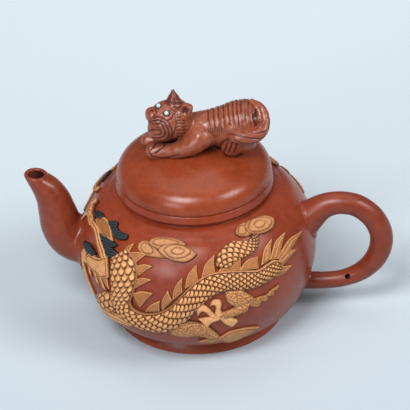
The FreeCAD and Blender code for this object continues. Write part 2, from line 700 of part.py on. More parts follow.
def make_reliefs():
    """The dragon and clouds at the front, each piece cut to those laid before it, and their mirror image."""
    lobes = {name: [lobe(*one) for one in group] for name, group in CLOUDS_SHARES.items()}
    plan = (
        ("dragon_trunk", "trunk_relief", [TRUNK_SHARES]),
        ("dragon_head", "head_relief", [HEAD_SHARES]),
        ("dragon_horn", "limb_relief", [HORN_SHARES]),
        ("dragon_snout", "head_relief", [SNOUT_SHARES]),
        ("dragon_mane", "limb_relief", [quad(one) for one in MANE_SHARES]),
        ("dragon_whiskers", "leaf_relief", [fin(one) for one in BEARD_SHARES] + [WHISKER_SHARES]),
        ("far_foreleg", "leaf_relief", [SHOULDER_SHARES, FRONT_ARM_SHARES]),
        ("upper_leg", "limb_relief", [UPPER_LEG_SHARES]),
        ("lower_thigh", "limb_relief", [LOWER_HIND_THIGH_SHARES]),
        ("lower_shin", "limb_relief", [SHIN_SHARES]),
        ("leg_tuft", "leaf_relief", [TUFT_SHARES]),
        ("claws", "leaf_relief", [fin(one) for one in CLAW_SHARES]),
        ("foreleg", "limb_relief", [FORELEG_SHARES]),
        ("paw_leaves", "leaf_relief", [quad(one) for one in PAW_LEAVES_SHARES]),
        ("tail_fins", "leaf_relief", [fin(one) for one in TAIL_FINS_SHARES]),
        ("back_fins", "leaf_relief", [fin(one) for one in FINS_SHARES]),
        ("cloud_large", "cloud_relief", lobes["cloud_large"]),
        ("cloud_small", "cloud_relief", lobes["cloud_small"]),
    )
    layers = {name: skin_layer(size(name)) for name in {entry[1] for entry in plan}}
    laid = [spout.Shape.copy()]
    for name, relief, strips in plan:
        solids = []
        for strip in strips:
            block = column(strip)
            for other in laid:
                if block.BoundBox.intersect(other.BoundBox):
                    block = block.cut(other)
            if not block.Solids:
                continue
            block = biggest(block)
            laid.append(block)
            solids.append(biggest(block.common(layers[relief])))
        shape = solids[0] if len(solids) == 1 else Part.makeCompound(solids)
        keep("front_" + name, shape)
        keep("rear_" + name, shape.mirror(FreeCAD.Vector(0, 0, 0), FreeCAD.Vector(0, 1, 0)))


def beast_place(shares):
    """A place of the beast, its height counted from the crown of the lid below it."""
    across, deep, up = (share * size("beast_length") for share in shares)
    middle = lid_crown()[1][1]
    crown = total(LID_TOP) - middle
    return FreeCAD.Vector(across, deep, middle + math.sqrt(crown ** 2 - across ** 2 - deep ** 2) + up)


def capsule(first, first_radius, second, second_radius):
    """A tapered limb: two balls and the cone that touches both."""
    run = second - first
    reach = run.Length
    lean = (first_radius - second_radius) / reach
    side = math.sqrt(1 - lean ** 2)
    spots = [
        (0, -first_radius), (first_radius * side, first_radius * lean),
        (second_radius * side, reach + second_radius * lean), (0, reach + second_radius),
    ]
    half = math.asin(lean)
    turns = (-math.pi / 4 + half / 2, math.pi / 4 + half / 2)
    middles = [
        (first_radius * math.cos(turns[0]), first_radius * math.sin(turns[0])),
        (second_radius * math.cos(turns[1]), reach + second_radius * math.sin(turns[1])),
    ]
    place = [FreeCAD.Vector(spot[0], 0, spot[1]) for spot in spots + middles]
    wire = Part.Wire([
        Part.Arc(place[0], place[4], place[1]).toShape(), Part.makeLine(place[1], place[2]),
        Part.Arc(place[2], place[5], place[3]).toShape(), Part.makeLine(place[3], place[0]),
    ])
    solid = Part.Face(wire).revolve(FreeCAD.Vector(0, 0, 0), FreeCAD.Vector(0, 0, 1), 360)
    if solid.ShapeType != "Solid":
        solid = Part.makeSolid(solid)
    upright = FreeCAD.Vector(0, 0, 1)
    turned = FreeCAD.Rotation(upright, run) * FreeCAD.Rotation(upright, SEAM_TURN)
    solid.Placement = FreeCAD.Placement(first, turned)
    return solid


def ball(place, radii):
    """An egg shape with three radii."""
    solid = Part.makeSphere(1.0)
    stretch = FreeCAD.Matrix()
    stretch.scale(FreeCAD.Vector(*radii))
    solid = solid.transformGeometry(stretch)
    solid.translate(place)
    return solid


def make_beast(lid):
    """The beast on the lid: each piece is cut to the lid and to the pieces before it."""
    length = size("beast_length")
    pieces = {}
    for name, stations in BEAST_SHARES.items():
        spots = [(beast_place(place), radius * length) for place, radius in stations]
        limb = capsule(spots[0][0], spots[0][1], spots[1][0], spots[1][1])
        for before, after in zip(spots[1:], spots[2:]):
            limb = limb.fuse(capsule(before[0], before[1], after[0], after[1]))
        pieces[name] = limb
    for name, (place, radii) in ROUND_PIECES_SHARES.items():
        pieces[name] = ball(beast_place(place), [radius * length for radius in radii])
    low, high, radii = CREST_SHARES
    run = beast_place(high) - beast_place(low)
    wide, narrow = (radius * length for radius in radii)
    pieces["beast_crest"] = Part.makeCone(wide, narrow, run.Length, beast_place(low), run)
    eyes = [Part.makeSphere(size("eye_radius"), beast_place(place)) for place in EYES_SHARES]
    order = (
        "beast_body", "beast_head", "beast_muzzle", "beast_jaw", "beast_near_foreleg", "beast_far_foreleg",
        "beast_near_hind_leg", "beast_far_hind_leg", "beast_tail", "beast_crest", "beast_near_ear",
        "beast_far_ear",
    )
    taken = [lid.Shape]
    for name in order:
        shape = pieces[name]
        for other in taken:
            if shape.BoundBox.intersect(other.BoundBox):
                shape = shape.cut(other)
        for eye in eyes:
            shape = shape.cut(eye)
        shape = biggest(shape)
        taken.append(shape)
        keep(name, shape)
    keep("beast_eyes", Part.makeCompound(eyes))


core = make_belly_core()
make_pot_wall()
make_vessel()
spout = make_spout(core)
handle = make_handle(core)
doc.recompute()
make_reliefs()
make_beast(doc.getObject("lid_core"))
doc.recompute()

NODES = ["pot_wall", "base_plate", "foot_ring", "mouth_ring", "spout", "handle"]
NODES += ["lid_dome", "lid_plate", "lid_collar"]
NODES += [item.Label for item in doc.Objects if item.TypeId == "Part::Feature"]
for item in doc.Objects:
    faults = [state for state in item.State if state in ("Invalid", "Error")]
    if faults:
        raise RuntimeError("%s is %s" % (item.Label, faults))
for label in NODES:
    shape = doc.getObjectsByLabel(label)[0].Shape
    if shape.isNull() or not shape.isValid() or not shape.Solids:
        raise RuntimeError("%s has no valid solid" % label)
os.makedirs("parts", exist_ok=True)
for label in NODES:
    shape = doc.getObjectsByLabel(label)[0].Shape
    shape.exportStep(os.path.join("parts", label + ".step"))
    print("%-24s %2d solid, %9.1f mm3" % (label, len(shape.Solids), shape.Volume))
print(len(NODES), "nodes")
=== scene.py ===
import bmesh
import bpy
import numpy as np
from mathutils import Euler, Matrix, Vector
from mathutils.geometry import delaunay_2d_cdt


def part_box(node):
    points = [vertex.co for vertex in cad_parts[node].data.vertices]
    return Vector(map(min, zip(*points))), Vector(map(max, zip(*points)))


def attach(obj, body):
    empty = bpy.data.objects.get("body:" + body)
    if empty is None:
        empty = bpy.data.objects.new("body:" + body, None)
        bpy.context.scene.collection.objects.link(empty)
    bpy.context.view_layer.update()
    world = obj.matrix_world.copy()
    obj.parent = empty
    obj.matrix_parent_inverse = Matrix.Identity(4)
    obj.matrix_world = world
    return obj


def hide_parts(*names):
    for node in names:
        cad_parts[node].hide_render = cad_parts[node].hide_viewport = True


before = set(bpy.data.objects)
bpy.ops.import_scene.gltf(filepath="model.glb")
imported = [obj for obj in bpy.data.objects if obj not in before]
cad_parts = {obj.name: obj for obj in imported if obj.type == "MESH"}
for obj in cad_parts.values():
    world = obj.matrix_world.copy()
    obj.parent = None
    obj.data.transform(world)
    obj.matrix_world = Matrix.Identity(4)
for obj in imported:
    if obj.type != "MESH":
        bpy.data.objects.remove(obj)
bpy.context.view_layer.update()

# Pot wall and mouth ring.
# A round belly beaten from a rolled sheet of purple clay, closed by a thrown ring with an undercut bead.
# Burnishing with a horn spatula before firing leaves a waxy skin with faint clouds of colour.
MM = 0.001
BELLY_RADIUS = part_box("pot_wall")[1].x / MM
SHOULDER_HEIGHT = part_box("pot_wall")[1].z / MM
FOOT_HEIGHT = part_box("pot_wall")[0].z / MM
RIM_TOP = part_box("mouth_ring")[1].z / MM
BELLY_HEIGHT = 39.8
WAIST_RADIUS = 37.9
MOUTH_RADIUS = 30.5
NECK_RADIUS = 36.5
RIM_RADIUS = 37.1
BAND_RADIUS = 38.1
BAND_HEIGHT = 73.9
COVE_RADIUS = 43.6
COVE_FOOT = 67.5
COVE_LIP = 38.1
COVE_HEIGHT = 70.4
COVE_NECK = 35.3
COVE_STEP = 0.3
COVE_TUCK = 0.4
RING_ROOT = 1
RING_ROUNDS = (0, 0, 0, 1.2, 0.9, 0.5, 0.55, 0.7)
WALL = 3.4
LOWER_CURVE = 14.5
UPPER_CURVE = 15.2
STRAINER_PITCH = 5.4
STRAINER_HEIGHT = 39.0
STRAINER_HOLE = 1.5
STRAINER_HOLES = 7
STRAINER_DEPTH = 20
WELD = 0.002
KILN_CLOUD = 25
MOTTLE_WIDTH = 4
SAND_WIDTH = 0.6
SAND_DEPTH = 0.05
MOTTLE_DEPTH = 0.1
SPECK_PITCH = 1.6
CLAY_IOR = 1.42


def linear(colour):
    """An sRGB hex value as linear red, green, blue and full alpha."""
    parts = np.array([int(colour[i:i + 2], 16) for i in (0, 2, 4)]) / 255
    light = np.where(parts <= 0.04045, parts / 12.92, ((parts + 0.055) / 1.055) ** 2.4)
    return (*light, 1.0)


def add(tree, kind, sockets=None, **settings):
    """One shader node with its settings. A socket is given a value, or the output that feeds it."""
    made = tree.nodes.new("ShaderNode" + kind)
    for key, value in settings.items():
        setattr(made, key, value)
    for key, value in (sockets or {}).items():
        if isinstance(value, bpy.types.NodeSocket):
            tree.links.new(value, made.inputs[key])
        else:
            made.inputs[key].default_value = value
    return made


def new_material(name):
    """A new material, its node tree, its shader and its object coordinates."""
    made = bpy.data.materials.new(name)
    made.use_nodes = True
    tree = made.node_tree
    return made, tree, tree.nodes["Principled BSDF"], add(tree, "TexCoord").outputs["Object"]


def noise(tree, place, width, detail, rough):
    """Noise in cells of so many millimetres, as a shader value."""
    sockets = {"Vector": place, "Scale": 1 / (width * MM), "Detail": detail, "Roughness": rough}
    return add(tree, "TexNoise", sockets).outputs["Fac"]


def ranged(tree, value, low, high, first=0.0, last=1.0):
    """A shader value carried evenly from between low and high to between first and last, and held there."""
    sockets = {"Value": value, "From Min": low, "From Max": high, "To Min": first, "To Max": last}
    return add(tree, "MapRange", sockets).outputs[0]


def mixed(tree, share, base, over):
    """Base with a share of over mixed in. Each is an sRGB hex value or the output of a shader node."""
    base, over = (linear(colour) if isinstance(colour, str) else colour for colour in (base, over))
    return add(tree, "Mix", {0: share, 6: base, 7: over}, data_type="RGBA").outputs[2]


def burnished_clay(name, body, dark, light, gloss):
    """Unglazed purple clay rubbed smooth: wide clouds from the kiln, finer mottling, sand that shows as dark
    grains, a few pale specks and a waxy gloss."""
    made, tree, shader, place = new_material(name)
    cloud = noise(tree, place, KILN_CLOUD, 3.0, 0.55)
    mottle = noise(tree, place, MOTTLE_WIDTH, 4.0, 0.6)
    sand = noise(tree, place, SAND_WIDTH, 2.0, 0.7)
    speck = add(tree, "TexVoronoi", {"Vector": place, "Scale": 1 / (SPECK_PITCH * MM), "Randomness": 1.0})
    clouded = mixed(tree, ranged(tree, cloud, 0.35, 0.68), dark, body)
    mottled = mixed(tree, ranged(tree, mottle, 0.45, 0.8, 0.0, 0.45), clouded, light)
    sandy = mixed(tree, ranged(tree, sand, 0.3, 0.75, 0.28, 0.0), mottled, dark)
    specked = mixed(tree, ranged(tree, speck.outputs["Distance"], 0.1, 0.2, 0.35, 0.0), sandy, light)
    tree.links.new(specked, shader.inputs["Base Color"])
    sheen = ranged(tree, mottle, 0.3, 0.7, gloss - 0.03, gloss + 0.06)
    tree.links.new(sheen, shader.inputs["Roughness"])
    shader.inputs["IOR"].default_value = CLAY_IOR
    rise = add(tree, "Bump", {"Height": sand, "Strength": 0.25, "Distance": SAND_DEPTH * MM})
    sway = add(tree, "Bump", {"Height": mottle, "Strength": 0.3, "Distance": MOTTLE_DEPTH * MM,
                              "Normal": rise.outputs["Normal"]})
    tree.links.new(sway.outputs["Normal"], shader.inputs["Normal"])
    return made


def grid_faces(rows, columns, closed_rows=False, closed_columns=True):
    """Four-sided faces between neighbours of a grid of points stored row after row, as an array."""
    i = np.arange(rows if closed_rows else rows - 1)[:, None]
    j = np.arange(columns if closed_columns else columns - 1)[None, :]
    below, right = (i + 1) % rows, (j + 1) % columns
    corners = (i * columns + j, i * columns + right, below * columns + right, below * columns + j)
    return np.stack(np.broadcast_arrays(*corners), axis=-1).reshape(-1, 4)


def piece(name, points, faces, material, body, nodes, slot, height=None):
    """A mesh from points in millimetres, with its finish, the body it rides on and the nodes it stands for.

    Doubled points are merged and the faces turned outwards. Height is a value for each point, from 0 in a
    groove to 1 on top, which the finish reads as painted shade in grooves and a painted highlight on tops.
    """
    mesh = bpy.data.meshes.new(name)
    mesh.from_pydata((np.asarray(points) * MM).tolist(), [], np.asarray(faces).tolist())
    if height is not None:
        tones = mesh.attributes.new("height", "FLOAT", "POINT")
        tones.data.foreach_set("value", np.asarray(height, np.float32))
    work = bmesh.new()
    work.from_mesh(mesh)
    bmesh.ops.remove_doubles(work, verts=work.verts, dist=WELD * MM)
    bmesh.ops.dissolve_degenerate(work, edges=work.edges, dist=WELD / 2 * MM)
    bmesh.ops.recalc_face_normals(work, faces=work.faces)
    work.to_mesh(mesh)
    work.free()
    mesh.polygons.foreach_set("use_smooth", np.full(len(mesh.polygons), True))
    mesh.materials.append(material)
    made = bpy.data.objects.new(name, mesh)
    bpy.context.scene.collection.objects.link(made)
    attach(made, body)
    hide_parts(*nodes)
    return made


def arc(centre, radius, start, end, steps):
    """Points on an arc: centre + radius (cos a, sin a), for angles a in degrees from start to end."""
    angle = np.radians(np.linspace(start, end, steps))
    return np.stack([centre[0] + radius * np.cos(angle), centre[1] + radius * np.sin(angle)], axis=1)


def bulge(level, upright, curve, steps=48):
    """Two tangent arcs, from a corner with a level tangent to one with an upright tangent, as points.

    The small arc has the radius given. The large one is centred at the upright corner's height, and its
    radius is (w w + h h - 2 h c) / 2 (w - c) for width w, height h and small radius c.
    """
    wide, high = upright[0] - level[0], abs(upright[1] - level[1])
    side = np.sign(upright[1] - level[1])
    large = (wide ** 2 + high ** 2 - 2 * high * curve) / (2 * (wide - curve))
    near = (level[0], level[1] + side * curve)
    far = (upright[0] - large, upright[1])
    lean = np.degrees(np.arctan2(near[1] - far[1], near[0] - far[0]))
    small = arc(near, curve, -90 * side, lean, steps)
    return np.concatenate([small, arc(far, large, lean, 0, steps)[1:]])


def rounded(corners, radii, steps=7):
    """An outline whose corners are parabolas, much like arcs, from one tangent point to the next.

    A corner P with neighbours A and B and radius r becomes (1-t)(1-t)A' + 2t(1-t)P + t t B', where A' and B'
    lie r from P towards A and B.
    """
    corners = np.asarray(corners, float)
    parts = []
    for index, radius in enumerate(radii):
        spot, before, after = corners[index], corners[index - 1], corners[(index + 1) % len(corners)]
        if not radius:
            parts.append(spot[None])
            continue
        start = spot + (before - spot) * radius / np.hypot(*(before - spot))
        end = spot + (after - spot) * radius / np.hypot(*(after - spot))
        t = np.linspace(0, 1, steps)[:, None]
        parts.append((1 - t) ** 2 * start + 2 * t * (1 - t) * spot + t ** 2 * end)
    return np.concatenate(parts)


def turned(outline, steps=256):
    """A closed outline of radii and heights carried once round the upright axis: points and faces."""
    turn = np.linspace(0, 2 * np.pi, steps, endpoint=False)
    across, up = outline[:, 0][:, None], outline[:, 1][:, None]
    points = np.stack(np.broadcast_arrays(across * np.sin(turn), -across * np.cos(turn), up), axis=-1)
    return points.reshape(-1, 3), grid_faces(len(outline), steps, closed_rows=True)


def belly_outline(inset):
    """The belly's profile from waist to shoulder, set in from its skin."""
    widest = (BELLY_RADIUS - inset, BELLY_HEIGHT)
    low = bulge((WAIST_RADIUS, FOOT_HEIGHT + inset), widest, LOWER_CURVE - inset)
    high = bulge((NECK_RADIUS, SHOULDER_HEIGHT - inset), widest, UPPER_CURVE - inset)
    return np.concatenate([low, high[::-1][1:]])


def pierce(solid, middle, way, radius, depth):
    """Cut a round hole through a piece: its middle, its direction, its radius and its whole depth."""
    turn = Vector(way).to_track_quat("Z", "Y").to_euler()
    bpy.ops.mesh.primitive_cylinder_add(vertices=24, radius=radius * MM, depth=depth * MM, rotation=turn,
                                        location=Vector(middle) * MM)
    drill = bpy.context.object
    hole = solid.modifiers.new("hole", "BOOLEAN")
    hole.object = drill
    hole.operation = "DIFFERENCE"
    hole.solver = "EXACT"
    with bpy.context.temp_override(object=solid, active_object=solid, selected_objects=[solid]):
        bpy.ops.object.modifier_apply(modifier="hole")
    bpy.data.objects.remove(drill)


purple_clay = burnished_clay("burnished_purple_clay", "8A381F", "772D18", "9F4827", 0.28)
skin = belly_outline(0)
lining = belly_outline(WALL)
lip = [(MOUTH_RADIUS, SHOULDER_HEIGHT), (MOUTH_RADIUS, SHOULDER_HEIGHT - WALL)]
wall_piece = piece("pot_wall_skin", *turned(np.concatenate([skin, lip, lining[::-1]])), purple_clay, "pot",
                   ["pot_wall"], "belly_stoneware")
for step in range(STRAINER_HOLES):
    reach = STRAINER_PITCH if step else 0
    across, up = reach * np.cos(np.radians(60 * step)), reach * np.sin(np.radians(60 * step))
    pierce(wall_piece, (-BELLY_RADIUS, across, STRAINER_HEIGHT + up), (-1, 0, 0), STRAINER_HOLE,
           STRAINER_DEPTH)

ring = rounded([(MOUTH_RADIUS, SHOULDER_HEIGHT - RING_ROOT),
                (COVE_RADIUS + COVE_STEP, COVE_FOOT - COVE_TUCK), (COVE_RADIUS, COVE_FOOT),
                (COVE_LIP, COVE_HEIGHT), (COVE_NECK, COVE_HEIGHT + COVE_STEP),
                (BAND_RADIUS, BAND_HEIGHT), (RIM_RADIUS, RIM_TOP), (MOUTH_RADIUS, RIM_TOP)], RING_ROUNDS, 12)
piece("mouth_ring_skin", *turned(ring), purple_clay, "pot", ["mouth_ring"], "belly_stoneware")

# Foot ring and floor.
# The foot is a separate ring of the same clay, luted under the belly and trimmed on the wheel to a slight
# outward flare. It is burnished less than the belly, so it stays a little duller, and its colour is painted
# paler than the belly's as painted light.
FOOT_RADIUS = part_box("foot_ring")[1].x / MM
FOOT_BORE = 35.0
FOOT_STEP = 32.0
FLARE_IN = 0.9
FLARE_HEIGHT = 2.6
ANKLE_OUT = 0.3
ANKLE_HEIGHT = 5.4
FOOT_ROUNDS = (0.9, 0.7, 1.0, 1.1, 0.2, 0.3)
foot_clay = burnished_clay("foot_clay_painted_paler", "963D22", "7E301A", "A24A2B", 0.34)
flare = rounded([(FOOT_BORE, 0), (FOOT_RADIUS, 0), (FOOT_RADIUS - FLARE_IN, FLARE_HEIGHT),
                 (WAIST_RADIUS + ANKLE_OUT, ANKLE_HEIGHT), (WAIST_RADIUS, FOOT_HEIGHT),
                 (FOOT_STEP, FOOT_HEIGHT)], FOOT_ROUNDS)
piece("foot_ring_skin", *turned(flare), foot_clay, "pot", ["foot_ring"], "foot_stoneware")
floor_plate = rounded([(0, FOOT_HEIGHT), (WAIST_RADIUS, FOOT_HEIGHT), (WAIST_RADIUS, FOOT_HEIGHT + WALL),
                       (0, FOOT_HEIGHT + WALL)], (0, 0.2, 0.2, 0))
piece("floor_skin", *turned(floor_plate), foot_clay, "pot", ["base_plate"], "foot_stoneware")

# Spout and handle.
# Both are rolled round a tapered rod, bent while soft, luted on with slip and the join is wiped with a wet
# cloth until a small fillet runs round it. The tip is cut level with the rim.
SPOUT_PLACES = (
    (-45, 39), (-54.5, 39.5), (-61.6, 42), (-65.6, 48.6), (-67.3, 56), (-69, 63.6), (-71.9, 70.2),
    (-76.6, 77.1),
)
SPOUT_RADII = (12.6, 12.0, 11.0, 10.2, 9.2, 8.2, 7.0, 5.75)
SPOUT_WALL = 2.0
SPOUT_LIP = 0.9
HANDLE_PLACES = (
    (48, 46), (53.2, 51.8), (59.6, 57.6), (64.9, 60.3), (71.4, 61), (78.4, 59.1), (84.9, 53.4),
    (88.6, 45.8), (89.2, 38.4), (87.4, 31.5), (83.8, 25.7), (78.3, 20.7), (71, 17.3), (63.6, 15.9),
    (54, 15.7), (44, 16),
)
HANDLE_RADII = (8.8, 8.2, 6.6, 5.8, 5.5, 5.5, 5.6, 5.6, 5.6, 5.4, 5.0, 4.6, 4.2, 4.1, 4.3, 4.6)
FILLET = 2.6
AIR_HOLE = 1.4
AIR_HOLE_OUT = 15
AIR_HOLE_SIDE = -2.0
AIR_HOLE_HEIGHT = 17.7 + AIR_HOLE
AIR_HOLE_WAY = (0, -0.83, 0.56)
AIR_HOLE_DEPTH = 9
LIP_START = 60
LIP_WAY = (0.08, 1.0)
RING_POINTS = 96


def smooth_run(places, steps):
    """A curve through places, with steps points between neighbours: Catmull-Rom, whose tangent at each place
    is half the run from the place before it to the place after it."""
    p = np.asarray(places, float).reshape(len(places), -1)
    p = np.concatenate([2 * p[:1] - p[1:2], p, 2 * p[-1:] - p[-2:-1]])
    t = np.linspace(0, 1, steps, endpoint=False)[None, :, None]
    a, b, c, d = (p[k:len(p) - 3 + k][:, None, :] for k in range(4))
    curve = 2 * b + (c - a) * t + (2 * a - 5 * b + 4 * c - d) * t ** 2 + (3 * b - a - 3 * c + d) * t ** 3
    return np.concatenate([0.5 * curve.reshape(-1, p.shape[1]), p[-2:-1]])


def above_belly(points):
    """Rough distance of points from the belly's skin: radius less the skin's radius at that height, times the
    cosine of the skin's lean."""
    order = np.argsort(skin[:, 1])
    up, out = skin[order, 1], skin[order, 0]
    there = np.interp(points[..., 2], up, out)
    slope = np.interp(points[..., 2], up, np.gradient(out, up))
    return (np.hypot(points[..., 0], points[..., 1]) - there) / np.hypot(1, np.clip(slope, -4, 4))


def tube(line, radii, lean):
    """Rings round a line in the plane of the spout and handle, each square to its lean.

    A ring's point is the centre + r cos(a) side + r sin(a) across, where side is square to the lean.
    """
    turn = np.linspace(0, 2 * np.pi, RING_POINTS, endpoint=False)
    side = np.stack([lean[:, 1], -lean[:, 0]], axis=1) / np.hypot(lean[:, 0], lean[:, 1])[:, None]
    across, up = (line[:, k, None] + radii[:, None] * side[:, k, None] * np.cos(turn) for k in (0, 1))
    return np.stack([across, radii[:, None] * np.sin(turn) + 0 * across, up], axis=-1)


def fillet(rings, line, size):
    """Swell rings where they near the belly: at distance d they move out by f - sqrt(f f - (f-d)(f-d))."""
    near = np.clip(size - above_belly(rings), 0, size)
    grow = size - np.sqrt(size ** 2 - near ** 2)
    centre = np.stack([line[:, 0], 0 * line[:, 0], line[:, 1]], axis=1)[:, None, :]
    out = rings - centre
    return rings + out / np.linalg.norm(out, axis=-1, keepdims=True) * grow[..., None]


def sweep(places, radii, steps):
    """The smooth line, radii and direction of a tube through places."""
    run = smooth_run(np.column_stack([places, radii]), steps)
    return run[:, :2], run[:, 2], np.gradient(run[:, :2], axis=0)


line, radii, lean = sweep(SPOUT_PLACES, SPOUT_RADII, 14)
lean = lean / np.hypot(lean[:, 0], lean[:, 1])[:, None]
level = np.clip((line[:, 1] - LIP_START) / (RIM_TOP - LIP_START), 0, 1)[:, None] ** 2
lean = (1 - level) * lean + level * np.array(LIP_WAY)
outer = fillet(tube(line, radii, lean), line, FILLET)
bore = tube(line, radii - SPOUT_WALL, lean)[::-1]
turn = np.linspace(-90, 90, 9)[1:-1][:, None, None]
edge, hole = outer[-1:], bore[:1]
sweep_round = (edge - hole) / 2 * np.sin(np.radians(-turn))
roll = (edge + hole) / 2 + sweep_round + np.array([0, 0, SPOUT_LIP]) * np.cos(np.radians(turn))
spout_rings = np.concatenate([outer, roll, bore])
spout_clay = burnished_clay("burnished_purple_clay_spout", "7F3720", "6D2B18", "91432A", 0.26)
spout_faces = grid_faces(len(spout_rings), RING_POINTS, closed_rows=True)
spout_piece = piece("spout_skin", spout_rings.reshape(-1, 3), spout_faces, spout_clay, "pot", ["spout"],
                    "spout_stoneware")
# The bore is the same clay, painted darker as shade inside the hole.
bore_shade_clay = burnished_clay("bore_painted_shade_clay", "4E2114", "3A180E", "5E2A1A", 0.6)
spout_piece.data.materials.append(bore_shade_clay)
inner = np.arange(len(spout_piece.data.polygons)) >= (len(outer) + len(roll)) * RING_POINTS
spout_piece.data.polygons.foreach_set("material_index", inner.astype(int))

line, radii, lean = sweep(HANDLE_PLACES, HANDLE_RADII, 12)
handle_rings = fillet(tube(line, radii, lean), line, FILLET / 2)
start, end = (np.broadcast_to((out, 0, up), (1, RING_POINTS, 3)) for out, up in (line[0], line[-1]))
handle_rings = np.concatenate([start, handle_rings, end])
# The handle is the belly's clay, given a darker base colour as painted shade.
handle_clay = burnished_clay("burnished_purple_clay_handle", "7C331D", "6B2916", "8C4025", 0.33)
handle_faces = grid_faces(len(handle_rings), RING_POINTS)
handle_piece = piece("handle_skin", handle_rings.reshape(-1, 3), handle_faces, handle_clay, "pot", ["handle"],
                     "handle_stoneware")
pierce(handle_piece, (BELLY_RADIUS + AIR_HOLE_OUT, AIR_HOLE_SIDE, AIR_HOLE_HEIGHT), AIR_HOLE_WAY, AIR_HOLE,
       AIR_HOLE_DEPTH)

# Lid.
# The lid is thrown as a shallow dome and closed below by a flat plate and a collar that drops into the
# mouth. Its outside is burnished until it shows the lamps as soft lights.
LID_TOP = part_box("lid_dome")[1].z / MM
LID_RADIUS = 37.5
LID_EDGE = RIM_TOP + 1.4
LID_CURVE = 10.2
LID_HOLLOW = 33.2
LID_HOLLOW_SIDE = RIM_TOP + 3.2
LID_HOLLOW_TOP = LID_TOP - 4.0
COLLAR_INSIDE = 26.9
COLLAR_OUTSIDE = 30.1
COLLAR_FOOT = RIM_TOP - 8.5
COLLAR_GAP = 0.03
VENT_ACROSS = 13.0
VENT = 1.5
VENT_SINK = 3
VENT_DEPTH = 14


def dome_outline(reach, edge, top, curve, steps=40):
    """The dome's profile from edge to top: a small arc tangent to the upright edge, then a large arc to the
    axis, whose radius is (a a + h h - 2 a c) / 2 (h - c) for reach a, rise h and small radius c."""
    rise = top - edge
    crown = (reach ** 2 + rise ** 2 - 2 * reach * curve) / (2 * (rise - curve))
    near, far = (reach - curve, edge), (0, top - crown)
    lean = np.degrees(np.arctan2(near[1] - far[1], near[0] - far[0]))
    return np.concatenate([arc(near, curve, 0, lean, steps), arc(far, crown, lean, 90, steps)[1:]])


lid_clay = burnished_clay("burnished_red_clay", "883A1E", "772F18", "9C4A28", 0.27)
dome = dome_outline(LID_RADIUS, LID_EDGE, LID_TOP, LID_CURVE)
deep = LID_HOLLOW_TOP - LID_HOLLOW_SIDE
bowl = (LID_HOLLOW ** 2 + deep ** 2) / (2 * deep)
end = np.degrees(np.arccos(LID_HOLLOW / bowl))
under = arc((0, LID_HOLLOW_TOP - bowl), bowl, 90, end, 30)
edge = rounded([(LID_HOLLOW, LID_HOLLOW_SIDE), (LID_HOLLOW, RIM_TOP), (RIM_RADIUS, RIM_TOP),
                (LID_RADIUS, LID_EDGE)], (0, 0.2, 0.6, 0))
lid_piece = piece("lid_dome_skin", *turned(np.concatenate([dome, under, edge[1:-1]])), lid_clay, "lid",
                  ["lid_dome"], "lid_stoneware")
pierce(lid_piece, (VENT_ACROSS, 0, LID_TOP - VENT_SINK), (0, 0, 1), VENT, VENT_DEPTH)
plate = rounded([(COLLAR_INSIDE, RIM_TOP), (LID_HOLLOW, RIM_TOP), (LID_HOLLOW, LID_HOLLOW_SIDE),
                 (COLLAR_INSIDE, LID_HOLLOW_SIDE)], (0, 0, 0.3, 0.8))
piece("lid_plate_skin", *turned(plate), lid_clay, "lid", ["lid_plate"], "lid_stoneware")
collar_top = RIM_TOP - COLLAR_GAP
collar = rounded([(COLLAR_INSIDE, COLLAR_FOOT), (COLLAR_OUTSIDE, COLLAR_FOOT), (COLLAR_OUTSIDE, collar_top),
                  (COLLAR_INSIDE, collar_top)], (0.8, 1.4, 0, 0))
piece("lid_collar_skin", *turned(collar), lid_clay, "lid_collar", ["lid_collar"], "lid_stoneware")

# Dragon's trunk.
# The dragon is cut from a thin slab of paler, sandier clay and laid on the leather-hard belly with slip. Its
# scales are pressed one by one from the head down with a bamboo tool, so each lifts at its tail end.
TRUNK = (
    ((-43.5, 56), (-36.5, 62.5)), ((-43, 51), (-28, 57.5)), ((-41.5, 45), (-26.3, 50.5)),
    ((-41.3, 39), (-27.8, 43.2)), ((-41, 32.5), (-29.5, 37.5)), ((-38.5, 26.8), (-27, 34.2)),
    ((-31, 22.6), (-22, 34)), ((-20.6, 22), (-15, 36.4)), ((-10.5, 24.6), (-8.7, 41)),
    ((-2, 32), (-3.7, 47)), ((4.2, 40), (2.3, 52.6)), ((11, 45.6), (9.4, 56)), ((17.8, 47.3), (17, 56.5)),
    ((24.8, 46), (26.5, 55.2)), ((32, 45.2), (35, 53.2)), ((39, 46), (40.6, 54)),
    ((44.3, 46.9), (45.2, 54.2)), ((48.6, 48.8), (48.4, 52.4)),
)
TRUNK_RISE = 2.6
SET_IN = 0.5
REAR_SHARE = 0.6
MESH_PITCH = 0.32
STRIP_WALL = 0.35
STRIP_ROUND = 0.42
TRUNK_SCALES = (4.2, 0.18, 1.1)
STAIN_WIDTH = 1.8
GRIT_WIDTH = 0.5
GRIT_DEPTH = 0.12


def lengths(line):
    """The length along a flat line at each of its points."""
    return np.concatenate([[0], np.cumsum(np.hypot(*np.diff(line, axis=0).T))])


def at_length(where, run, points):
    """Points of a line, at lengths along it, from the lengths of its own points."""
    return np.stack([np.interp(where, run, column) for column in points.T], axis=1)


def unit(way):
    """Directions made one long."""
    return way / np.maximum(np.linalg.norm(way, axis=-1, keepdims=True), 1e-9)


skin_run = lengths(skin)
along_skin = np.gradient(skin, skin_run + np.arange(len(skin)) * 1e-9, axis=0)
skin_normal = unit(np.stack([along_skin[:, 1], -along_skin[:, 0]], axis=1))


def unroll(places):
    """Places on the belly, as degrees round from the front and heights, laid flat in millimetres.

    The first number is the arc at the widest ring, the second the length along the belly's profile.
    """
    places = np.asarray(places, float)
    return np.stack([np.radians(places[..., 0]) * BELLY_RADIUS,
                     np.interp(places[..., 1], skin[:, 1], skin_run)], axis=-1)


